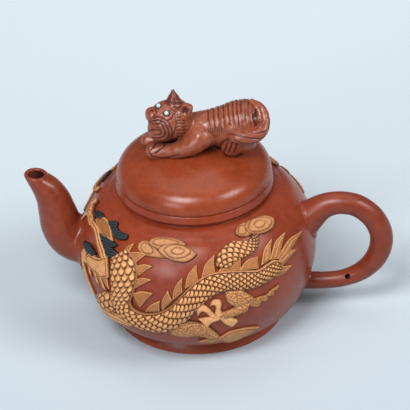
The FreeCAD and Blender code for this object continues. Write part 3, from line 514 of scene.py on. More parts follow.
def on_belly(flat, rise, mirrored):
    """Flat places back on the belly, raised along its normal; mirrored ones lie on the far side."""
    turn = flat[:, 0] / BELLY_RADIUS
    out, up = (np.interp(flat[:, 1], skin_run, skin[:, k]) for k in (0, 1))
    lean_out, lean_up = (np.interp(flat[:, 1], skin_run, skin_normal[:, k]) for k in (0, 1))
    out, up = out + rise * lean_out, up + rise * lean_up
    front = 1 if mirrored else -1
    return np.stack([out * np.sin(turn), front * out * np.cos(turn), up], axis=-1)


def distance(points, line):
    """Each point's distance to a broken line."""
    start, run = line[:-1], np.diff(line, axis=0)
    length = np.maximum((run ** 2).sum(axis=1), 1e-12)
    reach = points[:, None] - start
    t = np.clip((reach * run).sum(axis=2) / length, 0, 1)
    return np.sqrt(((reach - t[..., None] * run) ** 2).sum(axis=2)).min(axis=1)


def inside(points, edge):
    """Whether each point lies inside a closed outline, by counting crossings to its right."""
    a, b = edge, np.roll(edge, -1, axis=0)
    x, y = points[:, 0, None], points[:, 1, None]
    spans = (a[:, 1] > y) != (b[:, 1] > y)
    rise = np.where(a[:, 1] == b[:, 1], 1e-12, b[:, 1] - a[:, 1])
    return (spans & (x < a[:, 0] + (y - a[:, 1]) / rise * (b[:, 0] - a[:, 0]))).sum(axis=1) % 2 == 1


def groove(gap, width, middle=0.0):
    """How deep a rounded groove of that width is at a distance, from 0 to 1: exp(-((d - m) / w)(...))."""
    return np.exp(-((gap - middle) / width) ** 2)


def swell(gap, width, wall):
    """The height of clay at a distance from its edge: an upright wall, then a quarter round up to 1."""
    near = np.clip(gap / width, 0, 1)
    return wall + (1 - wall) * np.sqrt(1 - (1 - near) ** 2)


def shade_edges(tone, body):
    """A tone with painted shade that darkens where the clay turns down to its edge."""
    return tone * np.clip(body * 1.6 - 0.25, 0, 1)


def sides_of(pairs):
    """Smooth flat sides of a ribbon from pairs of places."""
    return [smooth_run(unroll([pair[k] for pair in pairs]), 10) for k in (0, 1)]


def strip(sides, rise, look, pitch=MESH_PITCH):
    """A ribbon of clay between two flat sides, rounded across, as flat points, rises, tones, faces and edge.

    Look gets the length along, the share across from -0.5 to 0.5 and the width in millimetres, and gives
    what it adds to the rise and the tone.
    """
    middle = (sides[0] + sides[1]) / 2
    run = lengths(middle)
    rows = int(run[-1] / pitch) + 2
    where = np.linspace(0, run[-1], rows)
    left, right = (at_length(where, run, side) for side in sides)
    width = np.hypot(*(right - left).T)
    columns = int(width.max() / pitch) + 2
    share = np.linspace(0, 1, columns)
    flat = left[:, None] + (right - left)[:, None] * share[None, :, None]
    along, across, wide = (np.broadcast_to(part, (rows, columns)).ravel()
                           for part in (where[:, None], share[None] - 0.5, width[:, None]))
    gap = np.minimum(np.minimum((0.5 - np.abs(across)) * wide, along), run[-1] - along)
    more, tone = look(along, across, wide)
    body = swell(gap, STRIP_ROUND * wide + 0.01, STRIP_WALL)
    quads = grid_faces(rows, columns, closed_columns=False)
    tris = np.concatenate([quads[:, [0, 1, 2]], quads[:, [0, 2, 3]]])
    number = np.arange(rows * columns).reshape(rows, columns)
    edge = np.concatenate([number[0, :-1], number[:-1, -1], number[-1, :0:-1], number[:0:-1, 0]])
    return flat.reshape(-1, 2), rise * body + more * body ** 2, shade_edges(tone, body), tris, edge


def scales(along, across, wide, count, length, band=0.0):
    """Overlapping scales in staggered rows, as what they add to the rise and their tone.

    In row and column units the scale rooted at row k reaches k + 1 + 1.2 sqrt(1 - 4 v v), v from its middle.
    The scale nearest the head covers the next ones, rises to its tip, and has a painted shadow just past it.
    """
    order = np.argsort(along, kind="stable")
    steps = np.diff(along[order], prepend=0) / (length * wide[order])
    rows = np.empty_like(along)
    rows[order] = np.cumsum(steps)
    climb, past_tip = np.zeros_like(along), np.full_like(along, 9.0)
    found = np.zeros(len(along), bool)
    crown = np.zeros_like(along)
    for back in (2, 1, 0):
        root = np.floor(rows) - back
        off = across * count - 0.5 * (root % 2)
        off = off - np.round(off)
        reach = 1 + 1.2 * np.sqrt(np.clip(1 - 4 * off ** 2, 0, 1))
        past = rows - root - reach
        covers = (past < 0) & ~found
        climb[covers] = ((rows - root) / reach)[covers]
        crown[covers] = (1 - 4 * off ** 2)[covers]
        past_tip = np.where(~found & (past >= 0), np.minimum(past_tip, past), past_tip)
        found |= covers
    gap = past_tip * length * wide
    rise = 0.6 * climb ** 2 + 0.35 * crown - 0.7 * groove(gap, 0.42)
    # Painted light: each scale pales towards its lifted tip and middle as a painted highlight, with painted
    # shadow in the gap past the tip.
    tone = np.clip(0.1 + 0.9 * climb ** 2 + 0.4 * crown, 0, 1) * (1 - groove(gap, 0.95))
    # The cut line along the band is painted dark as shade.
    rim = (0.5 - across) * wide
    flat = np.clip((band - rim) / 0.25, 0, 1)
    line = groove(rim, 0.22, band) * (band > 0)
    return rise * (1 - flat) + 0.25 * flat - 0.4 * line, (tone * (1 - flat) + 0.85 * flat) * (1 - 0.9 * line)


def lay(name, parts, material, slot):
    """Lay clay on the front of the belly, and its thinner mirror image on the back, as closed solids."""
    for side, mirrored in (("front", False), ("rear", True)):
        points, faces, tones, count = [], [], [], 0
        for flat, rise, tone, tris, edge in parts:
            size, after = len(flat), np.roll(edge, -1)
            thick = REAR_SHARE * rise if mirrored else rise
            points += [on_belly(flat, thick, mirrored), on_belly(flat, -SET_IN, mirrored)]
            wall = np.concatenate([np.stack([edge, after, after + size], axis=1),
                                   np.stack([edge, after + size, edge + size], axis=1)])
            faces += [tris + count, tris[:, ::-1] + size + count, wall + count]
            tones += [tone, np.zeros(size)]
            count += 2 * size
        piece(f"{side}_{name}_skin", np.concatenate(points), np.concatenate(faces), material, "pot",
              [f"{side}_{name}"], slot, np.concatenate(tones))


def laid_clay(name, low, body, top, rough=0.5, shine=0.25):
    """Sandy clay, cut and pressed: painted shade darkens it where the tool went deep, and a painted highlight
    pales its raised tops.
    """
    made, tree, shader, place = new_material(name)
    tone = add(tree, "Attribute", attribute_name="height").outputs["Fac"]
    mottle = noise(tree, place, STAIN_WIDTH, 4.0, 0.65)
    sand = noise(tree, place, GRIT_WIDTH, 2.0, 0.7)
    # The height attribute paints shade low in grooves and a highlight on raised tops; mottle and grit are the
    # clay's own colour.
    groove_shaded = mixed(tree, ranged(tree, tone, 0.05, 0.6), low, body)
    top_lit = mixed(tree, ranged(tree, tone, 0.55, 1.0), groove_shaded, top)
    stained = mixed(tree, ranged(tree, mottle, 0.42, 0.7, 0.0, 0.35), top_lit, low)
    grainy = mixed(tree, ranged(tree, sand, 0.35, 0.7, 0.22, 0.0), stained, low)
    tree.links.new(grainy, shader.inputs["Base Color"])
    shader.inputs["Roughness"].default_value = rough
    shader.inputs["Specular IOR Level"].default_value = shine
    bump = add(tree, "Bump", {"Height": sand, "Strength": 0.5, "Distance": GRIT_DEPTH * MM})
    tree.links.new(bump.outputs["Normal"], shader.inputs["Normal"])
    return made


tan_clay = laid_clay("laid_tan_clay", "381808", "9E653C", "EDAE73")
trunk_look = lambda along, across, wide: scales(along, across, wide, *TRUNK_SCALES)
lay("dragon_trunk", [strip(sides_of(TRUNK), TRUNK_RISE, trunk_look)], tan_clay, "tan_clay")

# Dorsal and tail fins.
# Each fin is a leaf pinched off a slab of clay that fires more orange, with a line cut just inside its edge.
# A tail fin has a rib down its middle as well.
FINS = (
    ((-38.5, 61), (-34.5, 60.5), (-33.5, 64.4), 0.4), ((-35, 60.5), (-29, 57.5), (-23.8, 62), 0.8),
    ((-28, 56.8), (-26.3, 52.3), (-19.2, 58), 0.8), ((-27.2, 50.8), (-27.8, 45.6), (-18.8, 52.2), 0.9),
    ((-28.8, 43.2), (-24.8, 36.2), (-17.8, 46), 1.1), ((-22.3, 34.6), (-14.6, 36.6), (-14.2, 42.8), 1.1),
    ((-13.6, 36.8), (-8.2, 43.6), (-10.4, 48.6), 1.2), ((-8.2, 43.6), (-3.2, 48), (-3.2, 55.2), 1.6),
    ((-2.2, 49.6), (4.6, 53.4), (4.2, 60.4), 1.9), ((5.8, 54), (13.2, 56.4), (14.2, 63.2), 2),
    ((14.2, 56.2), (26.5, 55.3), (28.6, 60.8), 2.2), ((25.4, 55.2), (36, 53.2), (37.4, 58.4), 1.8),
)
TAIL_FINS = (
    ((37.4, 54), (43.6, 54.8), (50.2, 62.2), 2.3), ((43, 54.8), (48.4, 53.4), (60.6, 61), 2.8),
    ((46.6, 53.8), (51.4, 51.8), (73, 55.6), 3.2), ((48.3, 52.8), (48.8, 49.2), (62.2, 51.6), 2),
    ((41, 47), (48.6, 49.8), (56.2, 46.9), 1.6),
)
FIN_RISE = 1.5
FIN_LINE = 0.75
RIB_WIDTH = 0.3
RIB_START = 0.8
BLADE_WALL = 0.4
EDGE_RINGS = (0.12, 0.34)
LATTICE_GAP = 0.5


def evened(runs):
    """A closed flat outline from runs of flat points that meet at corners, spaced at the mesh's pitch."""
    parts = []
    for run in runs:
        curve = smooth_run(run, 8) if len(run) > 2 else run
        length = lengths(curve)
        where = np.linspace(0, length[-1], max(2, round(length[-1] / MESH_PITCH)), endpoint=False)
        parts.append(at_length(where, length, curve))
    return np.concatenate(parts)


def outline(*runs):
    """A closed flat outline from runs of places: each is smooth and ends where the next one starts."""
    return evened([unroll((*run, after[0])) for run, after in zip(runs, runs[1:] + runs[:1])])


def blade(edge, rise, look, rounding=0.8):
    """A piece of clay with a closed flat outline, as flat points, rises, tones, faces and edge.

    Rings of points follow the edge, an even lattice fills the middle, and the faces are the Delaunay
    triangles. Look gets the places and their distance from the edge, and gives what it adds to rise and tone.
    """
    ahead, behind = np.roll(edge, -1, axis=0), np.roll(edge, 1, axis=0)
    way = (ahead - behind) / np.maximum(np.hypot(*(ahead - behind).T), 1e-9)[:, None]
    turn = 1 if (edge[:, 0] * ahead[:, 1] - edge[:, 1] * ahead[:, 0]).sum() > 0 else -1
    inward = turn * np.stack([-way[:, 1], way[:, 0]], axis=1)
    closed = np.concatenate([edge, edge[:1]])
    rings = []
    for step in EDGE_RINGS:
        ring = edge + inward * step
        rings.append(ring[inside(ring, edge) & (distance(ring, closed) > 0.9 * step)])
    low, high = edge.min(axis=0), edge.max(axis=0)
    lattice = []
    for number, height in enumerate(np.arange(low[1], high[1], MESH_PITCH * 0.87)):
        row = np.arange(low[0] + (number % 2) * MESH_PITCH / 2, high[0], MESH_PITCH)
        lattice.append(np.stack([row, np.full(len(row), height)], axis=1))
    lattice = np.concatenate(lattice)
    lattice = lattice[inside(lattice, edge)]
    lattice = lattice[distance(lattice, closed) > LATTICE_GAP] if len(lattice) else lattice
    points = np.concatenate([edge, *rings, lattice])
    made = delaunay_2d_cdt([Vector(point) for point in points], [], [list(range(len(edge)))], 1, 1e-5)
    flat = np.array([tuple(point) for point in made[0]])
    twin = {old: new for new, olds in enumerate(made[3]) for old in olds}
    ring = np.array([twin[k] for k in range(len(edge))])
    gap = distance(flat, closed)
    gap[ring] = 0
    more, tone = look(flat, gap)
    body = swell(gap, rounding, BLADE_WALL)
    return flat, rise * body + more * (gap > 0.05), shade_edges(tone, body), np.array(made[2]), ring


def fin(base, heel, tip, bow, rib=False):
    """A leaf between two base corners and a tip, bowed out on its front edge by so many millimetres."""
    a, b, c = unroll((base, heel, tip))
    half = (a + c) / 2
    square = np.array([-(c - a)[1], (c - a)[0]]) / np.hypot(*(c - a))
    square = square * (1 if np.dot(square, half - b) > 0 else -1)
    inner = (b + c) / 2 + square * bow * 0.25
    edge = evened((np.array([a, half + square * bow, c]), np.array([c, inner, b]), np.array([b, a])))
    spine = np.array([(a + b) / 2, (inner + half + square * bow) / 2, c])

    def look(flat, gap):
        # Painted shade darkens the cut line and the dish inside it; the raised rib gets a painted highlight.
        line = groove(gap, 0.18, FIN_LINE)
        vein = groove(distance(flat, spine), RIB_WIDTH) * (gap > RIB_START) if rib else 0 * gap
        dish = np.clip((gap - FIN_LINE) / 0.5, 0, 1)
        return -0.35 * line - 0.25 * dish + 0.35 * vein, (0.95 - 0.35 * dish + 0.3 * vein) * (1 - 0.65 * line)

    return blade(edge, FIN_RISE, look)


fin_clay = laid_clay("laid_orange_clay", "4A2512", "A5673A", "CE9862")
lay("back_fins", [fin(*one) for one in FINS], fin_clay, "orange_clay")
lay("tail_fins", [fin(*one, rib=True) for one in TAIL_FINS], fin_clay, "orange_clay")

# Legs and claws.
# Rolls of the paler clay, flattened on the belly and pricked all over with a needle; only the upper hind leg
# has pressed scales. Claws and paw leaves are pinched flat, and a jagged tuft of hair flies from the heel.
UPPER_LEG = (
    ((14, 57.8), (20.5, 56.8)), ((14.7, 61.8), (23, 58)), ((19.2, 65), (26.5, 59.2)),
    ((26, 66.3), (30.5, 59.6)), ((31.5, 65.6), (35.5, 60.2)), ((37.3, 65.4), (40, 62)),
    ((40.6, 67), (43.4, 65)),
)
LOWER_THIGH = (
    ((16.6, 47.6), (25.5, 46.6)), ((17.3, 41.8), (27.2, 44.6)), ((21, 37.8), (29.6, 42.2)),
    ((25.8, 36.2), (31.2, 40.6)),
)
LEG_TUFT = (
    ((27.2, 39), (29.4, 41), (31.9, 39.4), (35.2, 39.3), (38, 38.9), (40.3, 40.2), (42.8, 40.6)),
    ((46.4, 41.6), (44.4, 39)), ((42.3, 39.1), (42.2, 37)), ((38.8, 37.8), (38.2, 35.4)),
    ((35, 36.1), (33.2, 33.9), (29.4, 35.4)),
)
SHIN = (
    ((29.5, 38.6), (27.2, 33.2)), ((24, 38.4), (24, 32.8)), ((17.6, 36.6), (18.4, 31.6)),
    ((14.5, 35.8), (15.2, 31.4)),
)
FORELEG = (
    ((-12, 22.6), (-7.5, 31.5)), ((-8, 20.6), (-4, 31.8)), ((-3.6, 20), (0.2, 31.6)),
    ((3, 21.2), (6, 29.8)), ((8.4, 18.6), (10.5, 25.2)), ((12.6, 17.2), (13.8, 20.6)),
)
CLAWS = (
    (((14.6, 33), (10.9, 36.4), (8.7, 39.8), (5.3, 42.1), (2.8, 39.6)),
     ((3.4, 34.4), (5.4, 37.4), (7.4, 36.4), (9.5, 33.4), (12.5, 31.4))),
    (((16.4, 34), (14.6, 37.4), (15.1, 40.9), (14.2, 43.4), (10.7, 43.5)),
     ((9, 40.3), (11.4, 40.4), (12, 38.4), (11.4, 35.4), (13, 33))),
    (((14.6, 34.4), (9, 34.2)), ((3.4, 33.4), (5.2, 30.6)), ((7.8, 26.2), (10, 30), (14.1, 31.5))),
    (((13.6, 32), (16.4, 28)), ((20, 25), (23, 28.8), (18.8, 32.6), (16.2, 34.8))),
)
PAW_LEAVES = (
    (((12.8, 17), (19, 21.6), (27.6, 21.6)), ((36.2, 18.8), (28.8, 14.2), (19.6, 12))),
    (((2.8, 16.2), (9, 18.6), (15, 18.8)), ((20, 17.2), (15, 15.6), (9, 14.2))),
)
LIMB_RISE = 2.0
LEAF_RISE = 1.3
LEG_SCALES = (3.0, 0.22)
PRICK_PITCH = 0.95
CLAW_ROUND = 1.2


def ribbon(line, halves):
    """Smooth flat sides of a ribbon from places along its middle and half widths there."""
    run = smooth_run(np.column_stack([unroll(line), halves]), 10)
    way = np.gradient(run[:, :2], axis=0)
    way = way / np.hypot(*way.T)[:, None]
    square = np.stack([-way[:, 1], way[:, 0]], axis=1) * run[:, 2:]
    return [run[:, :2] - square, run[:, :2] + square]


def pricks(points, size):
    """Distance to the nearest prick: each square cell has one, moved by a hash of the cell's number."""
    cell, near = np.floor(points / size), np.full(len(points), np.inf)
    for x in (-1, 0, 1):
        for y in (-1, 0, 1):
            spot = cell + (x, y)
            hashed = [np.sin(spot @ way) * 43758.5 % 1 for way in ((12.99, 78.23), (39.35, 11.14))]
            middle = (spot + 0.5 + 0.7 * (np.stack(hashed, axis=1) - 0.5)) * size
            near = np.minimum(near, np.hypot(*(points - middle).T))
    return near


def pricked(along, across, wide):
    """Needle pricks: round pits of 0.25 mm, with painted shade at the bottom."""
    pit = pricks(np.stack([along, across * wide], axis=1), PRICK_PITCH)
    return -0.3 * groove(pit, 0.26), 0.85 * (1 - 0.8 * groove(pit, 0.28))


def plain(along, across, wide):
    """Smooth clay, with a painted highlight along the raised middle."""
    return 0 * along, 1 - 0.5 * np.abs(across)


def leaf_look(flat, gap):
    """A line round the leaf, well inside its edge, cut in and painted dark as shade."""
    line = groove(gap, 0.22, 1.1)
    return -0.4 * line, 0.85 * (1 - 0.8 * line)


def claw_look(flat, gap):
    """A claw swells away from its edge, with a painted highlight that pales its raised middle."""
    share = np.clip(gap / CLAW_ROUND, 0, 1)
    return 0.3 * share, 0.7 + 0.3 * share


leg_look = lambda along, across, wide: scales(along, across, wide, *LEG_SCALES)
lay("upper_leg", [strip(sides_of(UPPER_LEG), LIMB_RISE, leg_look)], tan_clay, "tan_clay")
lay("lower_thigh", [strip(sides_of(LOWER_THIGH), LIMB_RISE, pricked)], tan_clay, "tan_clay")
lay("lower_shin", [strip(sides_of(SHIN), LIMB_RISE, pricked)], tan_clay, "tan_clay")
tuft_look = lambda flat, gap: pricked(flat[:, 0], flat[:, 1], 1.0)
lay("leg_tuft", [blade(outline(*LEG_TUFT), LEAF_RISE, tuft_look)], fin_clay, "orange_clay")
lay("foreleg", [strip(sides_of(FORELEG), LIMB_RISE, pricked)], tan_clay, "tan_clay")
lay("claws", [blade(outline(*runs), LEAF_RISE, claw_look) for runs in CLAWS], tan_clay, "tan_clay")
paw_leaves = [blade(outline(*runs), LEAF_RISE, leaf_look) for runs in PAW_LEAVES]
lay("paw_leaves", paw_leaves, fin_clay, "orange_clay")

# Clouds.
# Each cloud is two or three pats of sandy clay that overlap. A pat is an oval drawn out to one point, with
# thinner ovals laid on it, each inside a cut line painted dark as shade.
LARGE_CLOUD = (
    (((-12, 61.8), (-16.9, 61.5), (-22.6, 61.2), (-26.6, 61.4), (-29.6, 62.3), (-31.1, 63.6),
      (-31.1, 64.8), (-29.8, 65.9), (-27.4, 66.4), (-23, 66.1)),
     (((-28.6, 64), (-27.8, 65.2), (-25, 65.4), (-22, 64.4), (-21, 63), (-23.8, 62.3), (-26.8, 62.7)),),
     1.1),
    (((-3, 66), (-2, 66.9), (-4.8, 67.7), (-10.3, 68.2), (-16.8, 68.1), (-21.9, 67.7), (-24.6, 66.8),
      (-24.2, 65.4), (-20, 64.6), (-12, 64.4)),
     (((-22.1, 66), (-21.3, 67), (-16.5, 67.6), (-10.8, 67.6), (-6.5, 67.1), (-11.6, 66.5), (-17.4, 65.8)),),
     1.5),
    (((4.6, 63.7), (1.4, 65.7), (-3.6, 66.7), (-8.6, 66.9), (-13.5, 66.6), (-16.9, 65.7), (-18, 64.4),
      (-15.4, 62.7), (-11.2, 61.5), (-6.6, 60.9), (-2.1, 60.8), (1.6, 61.9)),
     (((-14.3, 64.6), (-11.9, 65.9), (-7.8, 66.4), (-3, 66.1), (0.9, 64.8), (-1.7, 63.1), (-6, 62.3),
       (-10.5, 62.6)),
      ((-10, 64.5), (-8.2, 65.4), (-5.3, 65.5), (-2.6, 64.8), (-4.5, 63.8), (-7.9, 63.7))),
     1.9),
)
SMALL_CLOUD = (
    (((41, 66.4), (37.4, 66.1), (33.4, 66.5), (31, 67.2), (30, 68), (32.6, 68.8), (37, 69.1), (41, 69)),
     (((32.1, 67.9), (34.6, 68.7), (37.7, 68.7), (37.3, 67.9), (35.5, 67.1), (32.9, 67.4)),), 1.2),
    (((37.2, 67.9), (37.8, 68.6), (42.3, 69), (49.7, 68.9), (56.2, 68.4), (59.2, 67.1), (58, 65.9),
      (54, 64.8), (48.4, 64.7), (42.5, 65.4), (38, 66.6)),
     (((39.4, 67.9), (44.8, 68.8), (50.7, 68.6), (55.9, 67.5), (55.4, 66.4), (51, 65.7), (44.9, 66),
       (39.9, 67)),
      ((44, 67.9), (47.5, 68.2), (51.2, 67.6), (50.2, 66.9), (46.5, 66.7), (43.9, 67.3))),
     1.8),
)


def pat(run, rings, rise):
    """A pat of clay with one pointed end and thinner ones on it: each ring steps up over a foot painted dark
    as shade, and the raised rings are painted paler as highlight.
    """
    curves = [smooth_run(unroll((*ring, ring[0])), 8) for ring in rings]

    def look(flat, gap):
        more, line = 0 * gap, 0 * gap
        for curve in curves:
            out = distance(flat, curve)
            within = inside(flat, curve[:-1])
            more = more + 0.35 * within * np.clip(out / 0.3, 0, 1)
            line = np.maximum(line, groove(out + 0.3 * within, 0.32))
        # Painted shade also darkens the pat towards its edge.
        rim = np.clip(0.35 + 0.65 * gap / 1.1, 0, 1)
        return more - 0.35 * line, (0.76 + 0.35 * more) * (1 - 0.9 * line) * rim

    return blade(outline(run), rise, look)


cloud_clay = laid_clay("laid_cloud_clay", "48230F", "A46B41", "C8905F")
lay("cloud_large", [pat(*one) for one in LARGE_CLOUD], cloud_clay, "tan_clay")
lay("cloud_small", [pat(*one) for one in SMALL_CLOUD], cloud_clay, "tan_clay")

# Dragon's head and the foreleg beyond it.
# The head is built up from small plates and rolls of the paler clay: cheek, jaw with a pit for the mouth,
# brow, a pricked snout that ends in a knot, an orange horn, beard and whisker. The mane is near black.
CHEEK = (
    ((-63, 46.5), (-60.5, 50.3), (-56.6, 51), (-51.5, 52.4)), ((-46.8, 55.4), (-44, 50.2)),
    ((-42.8, 46.2), (-47.5, 43.8), (-52, 44.4), (-57.5, 44.2)),
)
JAW = (((-70, 45.2), (-66.4, 50.4), (-60, 52.8)), ((-55.5, 51.4), (-57, 47)), ((-62, 43.8), (-67, 43)))
BROW = (((-69, 60.8), (-61.5, 60.4), (-55, 57.6), (-50.5, 55.2), (-47.5, 53)), (1.5, 1.7, 1.9, 2.3, 1.6))
MOUTH_GAP = (-62.6, 48.4)
SNOUT = (((-83, 64), (-79, 62.2), (-74.5, 61), (-69, 60.6)), (1.3, 1.5, 2, 1.8))
KNOT = (-83.0, 64.6)
HORN = (((-69, 62.6), (-64.6, 65.6), (-55, 65.4)), ((-46.6, 61.6), (-53, 60.9), (-58.5, 60.9)))
BEARD = (
    ((-62, 45.4), (-59.4, 44.4), (-57.4, 39), 0.4), ((-57, 44.6), (-53.6, 44), (-50.6, 38), 0.5),
    ((-53, 44.2), (-49.2, 43.8), (-45.4, 37.6), 0.6), ((-48.6, 44.4), (-44.6, 45.6), (-42.8, 39.6), 0.5),
)
WHISKER = (
    ((-75.5, 60), (-80, 59.8), (-83.2, 58.2), (-84.9, 55.8), (-85.9, 53.4)), (0.9, 0.9, 0.9, 0.7, 0.3),
)
MANE = (
    (((-60, 59.5), (-56, 61.8), (-49.5, 61.6)), ((-43, 61.2), (-46.4, 58.8), (-52, 57.4))),
    (((-55.5, 57.6), (-47.4, 59.1), (-41.1, 58.4)), ((-38.2, 57), (-42.4, 55.2), (-48.6, 55.4))),
    (((-59, 65.6), (-53.2, 67.4)), ((-50.2, 66.2), (-46.2, 65.8)),
     ((-40, 66), (-39.4, 64.4), (-45.6, 62.9), (-51.6, 64.2))),
    (((-75, 64.6), (-69.3, 65.8)), ((-62.6, 65.6), (-66.3, 63.5), (-71.2, 63.1))),
    (((-70, 51.6), (-62.6, 53.6)), ((-55.5, 52.4), (-57.5, 50), (-64.3, 49.6))),
)
MANE_WAVE = 1.3
STRAND_PITCH = 5.2
KNOT_RADIUS = 1.7
BROW_LINE = 0.2
SHOULDER = (
    ((-56.5, 26), (-53, 31.5)), ((-52, 23.5), (-48, 36)), ((-46, 23.5), (-42.8, 38.2)),
    ((-40.5, 27), (-39.6, 34)),
)
ARM = (
    ((-60, 17), (-56.5, 24)), ((-52, 15.6), (-49, 24.6)), ((-42.5, 17.4), (-40, 25.6)),
    ((-33, 20.6), (-31, 22.8)),
)
FRINGE = (((-69.5, 43.5), (-66, 38.6), (-62.5, 33.2), (-58.5, 27.6)), (0.6, 1.2, 1.2, 0.9))
HEAD_RISE = 3.0


def pitted(rise, spots, sizes):
    """A look with round sunk spots, painted dark as shade."""
    def look(flat, gap):
        sunk = sum(groove(np.hypot(*(flat - unroll(spot)).T), size) for spot, size in zip(spots, sizes))
        return -rise * sunk, 0.85 * (1 - np.clip(1.1 * sunk, 0, 1))
    return look


def wisps(flat, gap):
    """Wavy strands of hair: grooves along the tuft whose phase sways with sin(u / 1.3), painted darker as
    shade.
    """
    wave = np.sin((flat[:, 1] + 0.45 * np.sin(flat[:, 0] / MANE_WAVE)) * STRAND_PITCH)
    return -0.3 * (wave > 0.2) * np.clip(wave, 0, 1), 0.35 + 0.4 * (1 - wave) / 2


def hairy(along, across, wide):
    """Three strands side by side, parted by grooves that run along and are painted dark as shade."""
    part = np.abs((across * 3 + 0.5) % 1 - 0.5) * wide / 3
    return 0.25 - 0.45 * groove(part, 0.25), 0.9 - 0.7 * groove(part, 0.25)


def browed(along, across, wide):
    """Two lines drawn along the brow, painted dark as shade."""
    line = groove(np.abs(across) - BROW_LINE, 0.08)
    return -0.4 * line, 0.9 - 0.6 * line


def dished(flat, gap):
    """A horn pressed slightly hollow inside its rim, with painted shade in the hollow."""
    dish = np.clip((gap - 0.5) / 0.4, 0, 1)
    return -0.3 * dish, 1 - 0.45 * dish


head = [blade(outline(*JAW), 1.6, pitted(1.3, (MOUTH_GAP,), (1.5,))),
        blade(outline(*CHEEK), 2.3, leaf_look), strip(ribbon(*BROW), HEAD_RISE, browed)]
lay("dragon_head", head, tan_clay, "tan_clay")
knot = blade(arc(unroll(KNOT), KNOT_RADIUS, 0, 351, 40), HEAD_RISE, leaf_look, rounding=1.6)
lay("dragon_snout", [strip(ribbon(*SNOUT), HEAD_RISE, pricked), knot], tan_clay, "tan_clay")
lay("dragon_horn", [blade(outline(*HORN), 2.2, dished)], fin_clay, "orange_clay")
mane_clay = laid_clay("black_slip", "0C0D10", "262B31", "4E5962", 0.45)
lay("dragon_mane", [blade(outline(*runs), 2.2, wisps, rounding=0.5) for runs in MANE], mane_clay, "dark_slip")
lay("dragon_whiskers", [fin(*one) for one in BEARD] + [strip(ribbon(*WHISKER), LEAF_RISE, plain, pitch=0.25)],
    tan_clay, "tan_clay")
far_foreleg = [strip(sides_of(SHOULDER), 1.8, leg_look), strip(sides_of(ARM), 1.4, hairy),
               strip(ribbon(*FRINGE), 1.2, plain)]
lay("far_foreleg", far_foreleg, tan_clay, "tan_clay")

# Beast's body and tail.
# A solid roll of clay, modelled with wooden tools while soft. Grooves drawn across the back part the bands of
# its coat, and the tail is a second roll laid round the rump and combed into a brush.
EYE_AZIMUTH = 5.0
EYE_HEIGHT = 34.0
EYE_ROLL = -2.79
EYE_DISTANCE = 3.0
EYE_TARGET = (4.43, 0.39, 59.4)
EYE_SCALE = 2.07
FRAME_WIDTH = 410
BODY_PLACES = (
    (1, 0.6, 102.6, 8.7), (8, 0.8, 104, 8.7), (15, 0.9, 105.6, 9.3), (21, 1, 106.9, 10.5),
    (25.4, 1, 107.4, 10.9),
)
BANDS = (8.2, 10.9, 13.5, 16.1, 18.6, 21.0, 23.2, 25.2, 27.1, 28.9, 30.7, 32.5)
BAND_DEPTH = 0.55
BACK_HEIGHT = 112
BAND_SLANT = 0.22
BRUSH_STRANDS = 5
BRUSH_START = 10
LIMB_PITCH = 0.24
HAIR_LINES = tuple(
    (0.55, ((208 + 2.2 * k, 129 - 0.4 * k), (208.5 + 2.2 * k, 134), (207.5 + 2.2 * k, 139 - 0.3 * k)))
    for k in range(7))
TAIL_PLACES = (
    (29.1, 3.9, 117, 1.2), (33, 1, 115.9, 1.9), (35, -1.6, 113.6, 2.1), (35.7, -4.7, 110.6, 2.3),
    (34.2, -8.2, 107.7, 2.8), (30.4, -10.7, 106.2, 3.1), (25.2, -11.7, 106.2, 3.1),
    (20.9, -11.2, 106.4, 2.5), (18.2, -10.6, 106.7, 1),
)
# The rump line is cut in and painted dark as shade along the top of the tail's brush.
RUMP_LINE = (1.7, ((257.5, 110), (255.5, 117), (257, 126)))


def limb(places, upright, across=1.0):
    """A roll of clay with round ends along places with radii: rings of centre + r (cos a side + sin a top).

    The side is square to the run and to the direction given as upright, and is stretched by across. At an end
    the radius follows sqrt(r r - s s) over a last length r. Returns points on a grid, their middles and the
    length along the run.
    """
    run = smooth_run(places, 24)
    first, last = run[0], run[-1]
    reach = np.concatenate([[0], np.cumsum(np.linalg.norm(np.diff(run[:, :3], axis=0), axis=1))])
    rows = int((reach[-1] + first[3] + last[3]) / LIMB_PITCH)
    turn = np.linspace(-np.pi / 2, np.pi / 2, max(rows // 4, 16))
    start, end = first[3] * np.sin(turn), reach[-1] + last[3] * np.sin(turn)
    along = np.concatenate([start[start < 0], np.arange(0, reach[-1], LIMB_PITCH), end[end > reach[-1]]])
    inner = np.clip(along, 0, reach[-1])
    spots = at_length(inner, reach, run)
    way = unit(at_length(inner, reach, np.gradient(run[:, :3], reach, axis=0)))
    over = np.maximum(-along, along - reach[-1]).clip(0)
    radius = np.sqrt((spots[:, 3] ** 2 - over ** 2).clip(0))
    middle = spots[:, :3] + way * np.where(along < 0, along, np.maximum(along - reach[-1], 0))[:, None]
    side = unit(np.cross(way, upright))
    top = np.cross(side, way)
    steps = int(2 * np.pi * run[:, 3].max() / LIMB_PITCH)
    a = np.linspace(0, 2 * np.pi, steps, endpoint=False)[None, :, None]
    ring = across * np.cos(a) * side[:, None] + np.sin(a) * top[:, None]
    return middle[:, None] + radius[:, None, None] * ring, middle, along


